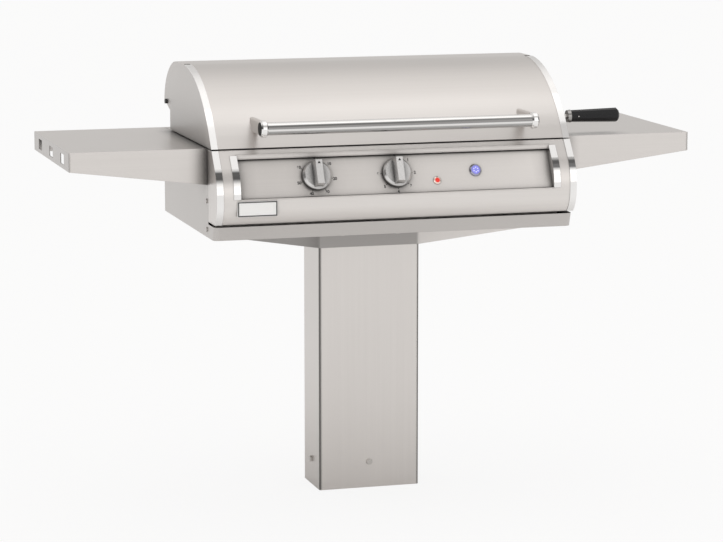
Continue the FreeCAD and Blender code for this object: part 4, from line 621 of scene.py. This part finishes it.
def printNumber(shape, mark, place):
    text = bpy.data.curves.new(mark, "FONT")
    text.body = mark
    text.size = dial["numberSize"]
    text.align_x = "CENTER"
    text.align_y = "CENTER"
    text.extrude = dial["inkGauge"]
    text.offset = dial["numberWeight"]
    holder = bpy.data.objects.new(mark, text)
    scene.collection.objects.link(holder)
    printed = bpy.data.meshes.new_from_object(holder)
    printed.transform(place)
    shape.from_mesh(printed)
    bpy.data.objects.remove(holder)
    bpy.data.meshes.remove(printed)


def printTick(shape, ray, panel):
    side = Vector((-ray.y, ray.x, 0)) * dial["tickWidth"] / 2
    lift = Vector((0, 0, dial["inkLift"] + dial["inkGauge"]))
    start, stop = ray * dial["tickInner"], ray * dial["tickOuter"]
    corners = (start - side, stop - side, stop + side, start + side)
    shape.faces.new([shape.verts.new(panel @ (corner + lift)) for corner in corners])


for name, (turn, marks) in dial["marks"].items():
    panel = onPanel(joints[name + "_turn"])
    scale = bmesh.new()
    for n, mark in enumerate(marks):
        angle = math.radians(dial["firstMark"] - turn * n / (len(marks) - 1))
        ray = Vector((math.cos(angle), math.sin(angle), 0))
        seat = ray * dial["numberRadius"] + Vector((0, 0, dial["inkLift"]))
        printNumber(scale, mark, panel @ Matrix.Translation(seat))
        printTick(scale, ray, panel)
    addPiece(name + "_scale", scale, ink, "root")

    knobPoints = [panel.inverted() @ vertex.co for vertex in nodes[name + "_knob"].data.vertices]
    face = max(point.z for point in knobPoints)
    tip = max(point.y for point in knobPoints if point.z > face - dial["faceDepth"]) - dial["pointerInset"]
    size = dial["pointerSize"]
    foot = tip - size * dial["pointerSlope"]
    pointer = bmesh.new()
    triangle = ((-size / 2, foot), (size / 2, foot), (0, tip))
    decks = [[pointer.verts.new(panel @ Vector((x, y, z))) for x, y in triangle]
             for z in (face, face + dial["inkGauge"] * 2)]
    pointer.faces.new(decks[1])
    skin(pointer, *decks)
    addPiece(name + "_pointer", pointer, ink, name)
print("dials ready")

# head brackets: folded plates on the post's front and back, with wings that end short of the shell's corners

headPlate = {
    "reach": 0.316,            # from the middle to a wing's end
    "rise": 0.054,
    "tip": 0.006,              # height left at a wing's end
    "gauge": 0.003,
    "flange": 0.026,
    "lap": 0.0005,             # how far a flange is let into its wing
    "endCut": 0.6,             # slant of a flange's end at the post, as a share of its width
    "float": 0.00002,          # flange under the shell's floor
}
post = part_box("post")[1]


def addHeadPlate(name, sign):
    # drawn with Y away from the post, and turned to its own side by the sign
    low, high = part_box(name)
    gauge = headPlate["gauge"]
    run = Vector((high.x - post.x, max(abs(low.y), abs(high.y)) - post.y - gauge))
    root = Vector((post.x, post.y))
    end = root + run * (headPlate["reach"] - post.x) / run.x
    square = Vector((-run.y, run.x)).normalized()
    bend = Vector((root.x - gauge * (run.length - run.x) / run.y, root.y + gauge))
    fall = headPlate["rise"] - headPlate["tip"]
    shape = bmesh.new()

    def corner(point, z, side=1):
        return shape.verts.new((side * point.x, sign * point.y, z))

    def under(point):
        along = max(0.0, point.x - root.x) / (end.x - root.x)
        return high.z - headPlate["rise"] + fall * along

    wing = [(end, end + square * gauge), (root, bend)]
    sections = [[corner(back, high.z, side), corner(ahead, high.z, side),
                 corner(ahead, under(ahead), side), corner(back, under(back), side)]
                for side, pairs in ((-1, wing), (1, wing[::-1])) for back, ahead in pairs]
    for near, after in zip(sections, sections[1:]):
        skin(shape, near, after)
    shape.faces.new(sections[0])
    shape.faces.new(sections[-1])

    lap = square * headPlate["lap"]
    inward = square * -headPlate["flange"]
    cutBack = run.normalized() * headPlate["flange"] * headPlate["endCut"]
    for side in (-1, 1):
        outline = (root + lap, end + lap, end + inward, root + inward + cutBack)
        decks = [[corner(point, z, side) for point in outline]
                 for z in (high.z - gauge, high.z - headPlate["float"])]
        shape.faces.new(decks[0])
        shape.faces.new(decks[1])
        skin(shape, *decks)
    bmesh.ops.recalc_face_normals(shape, faces=shape.faces)
    plate = addPiece(name + "_plate", shape, ownFinish[name], "root")
    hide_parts(name)


addHeadPlate("head_bracket_front", -1)
addHeadPlate("head_bracket_rear", 1)
print("head brackets ready")

# plugs in the ends of the handle's caps

plug = {"radius": 0.0135, "rise": 0.0012, "sink": 0.0008, "edge": 0.001, "bulge": 0.3}
capLow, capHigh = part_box("handle_caps")
tubeLow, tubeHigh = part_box("handle_tube")
middle = (tubeLow + tubeHigh) / 2
bulge = plug["edge"] * plug["bulge"]
plugOutline = [
    (plug["radius"], -plug["sink"]),
    (plug["radius"], plug["rise"] - plug["edge"]),
    (plug["radius"] - bulge, plug["rise"] - bulge),
    (plug["radius"] - plug["edge"], plug["rise"]),
]
for side, sign, endX in (("left", -1, capLow.x), ("right", 1, capHigh.x)):
    axis = Matrix(((0, 0, sign, endX), (0, 1, 0, middle.y), (-sign, 0, 0, middle.z), (0, 0, 0, 1)))
    shape = bmesh.new()
    lathe(shape, plugOutline, axis)
    addPiece("handle_plug_" + side, shape, rubber, "hood")
print("handle plugs ready")

# a ring of small lights in the button's cap

pips = {"count": 6, "sides": 16, "ring": 0.0048, "radius": 0.00095, "topRadius": 0.000665,
        "rise": 0.00015, "sink": 0.0003}
pipOutline = [
    (pips["radius"], -pips["sink"]),
    (pips["radius"], pips["rise"] / 2),
    (pips["topRadius"], pips["rise"]),
]
capLow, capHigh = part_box("button_cap")
cap = onPanel(joints["timer_turn"])
cap.translation = (capLow + capHigh) / 2
capFace = max((cap.inverted() @ vertex.co).z for vertex in nodes["button_cap"].data.vertices)
shape = bmesh.new()
for n in range(pips["count"]):
    angle = 2 * math.pi * (n + 0.5) / pips["count"]
    at = Vector((math.cos(angle) * pips["ring"], math.sin(angle) * pips["ring"], capFace))
    lathe(shape, pipOutline, cap @ Matrix.Translation(at), pips["sides"])
addPiece("button_pips", shape, pipLight, "button")
print("button lights ready")

# the frame round the blank plate

border = {"inset": 0.0006, "width": 0.0022, "rise": 0.0005, "sink": 0.0003}
plateLow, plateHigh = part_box("blank_plate")
shape = bmesh.new()
rings = []
for inset, y in ((0, border["sink"]), (0, -border["rise"]),
                 (border["width"], -border["rise"]), (border["width"], border["sink"])):
    inset += border["inset"]
    corners = [(plateLow.x + inset, plateLow.z + inset), (plateHigh.x - inset, plateLow.z + inset),
               (plateHigh.x - inset, plateHigh.z - inset), (plateLow.x + inset, plateHigh.z - inset)]
    rings.append([shape.verts.new((x, plateLow.y + y, z)) for x, z in corners])
for first, second in zip(rings, rings[1:] + rings[:1]):
    skin(shape, first, second)
bmesh.ops.recalc_face_normals(shape, faces=shape.faces)
addPiece("blank_plate_border", shape, darkMetal, "root")
print("plate border ready")

scene.view_settings.view_transform = "Standard"
low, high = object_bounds()
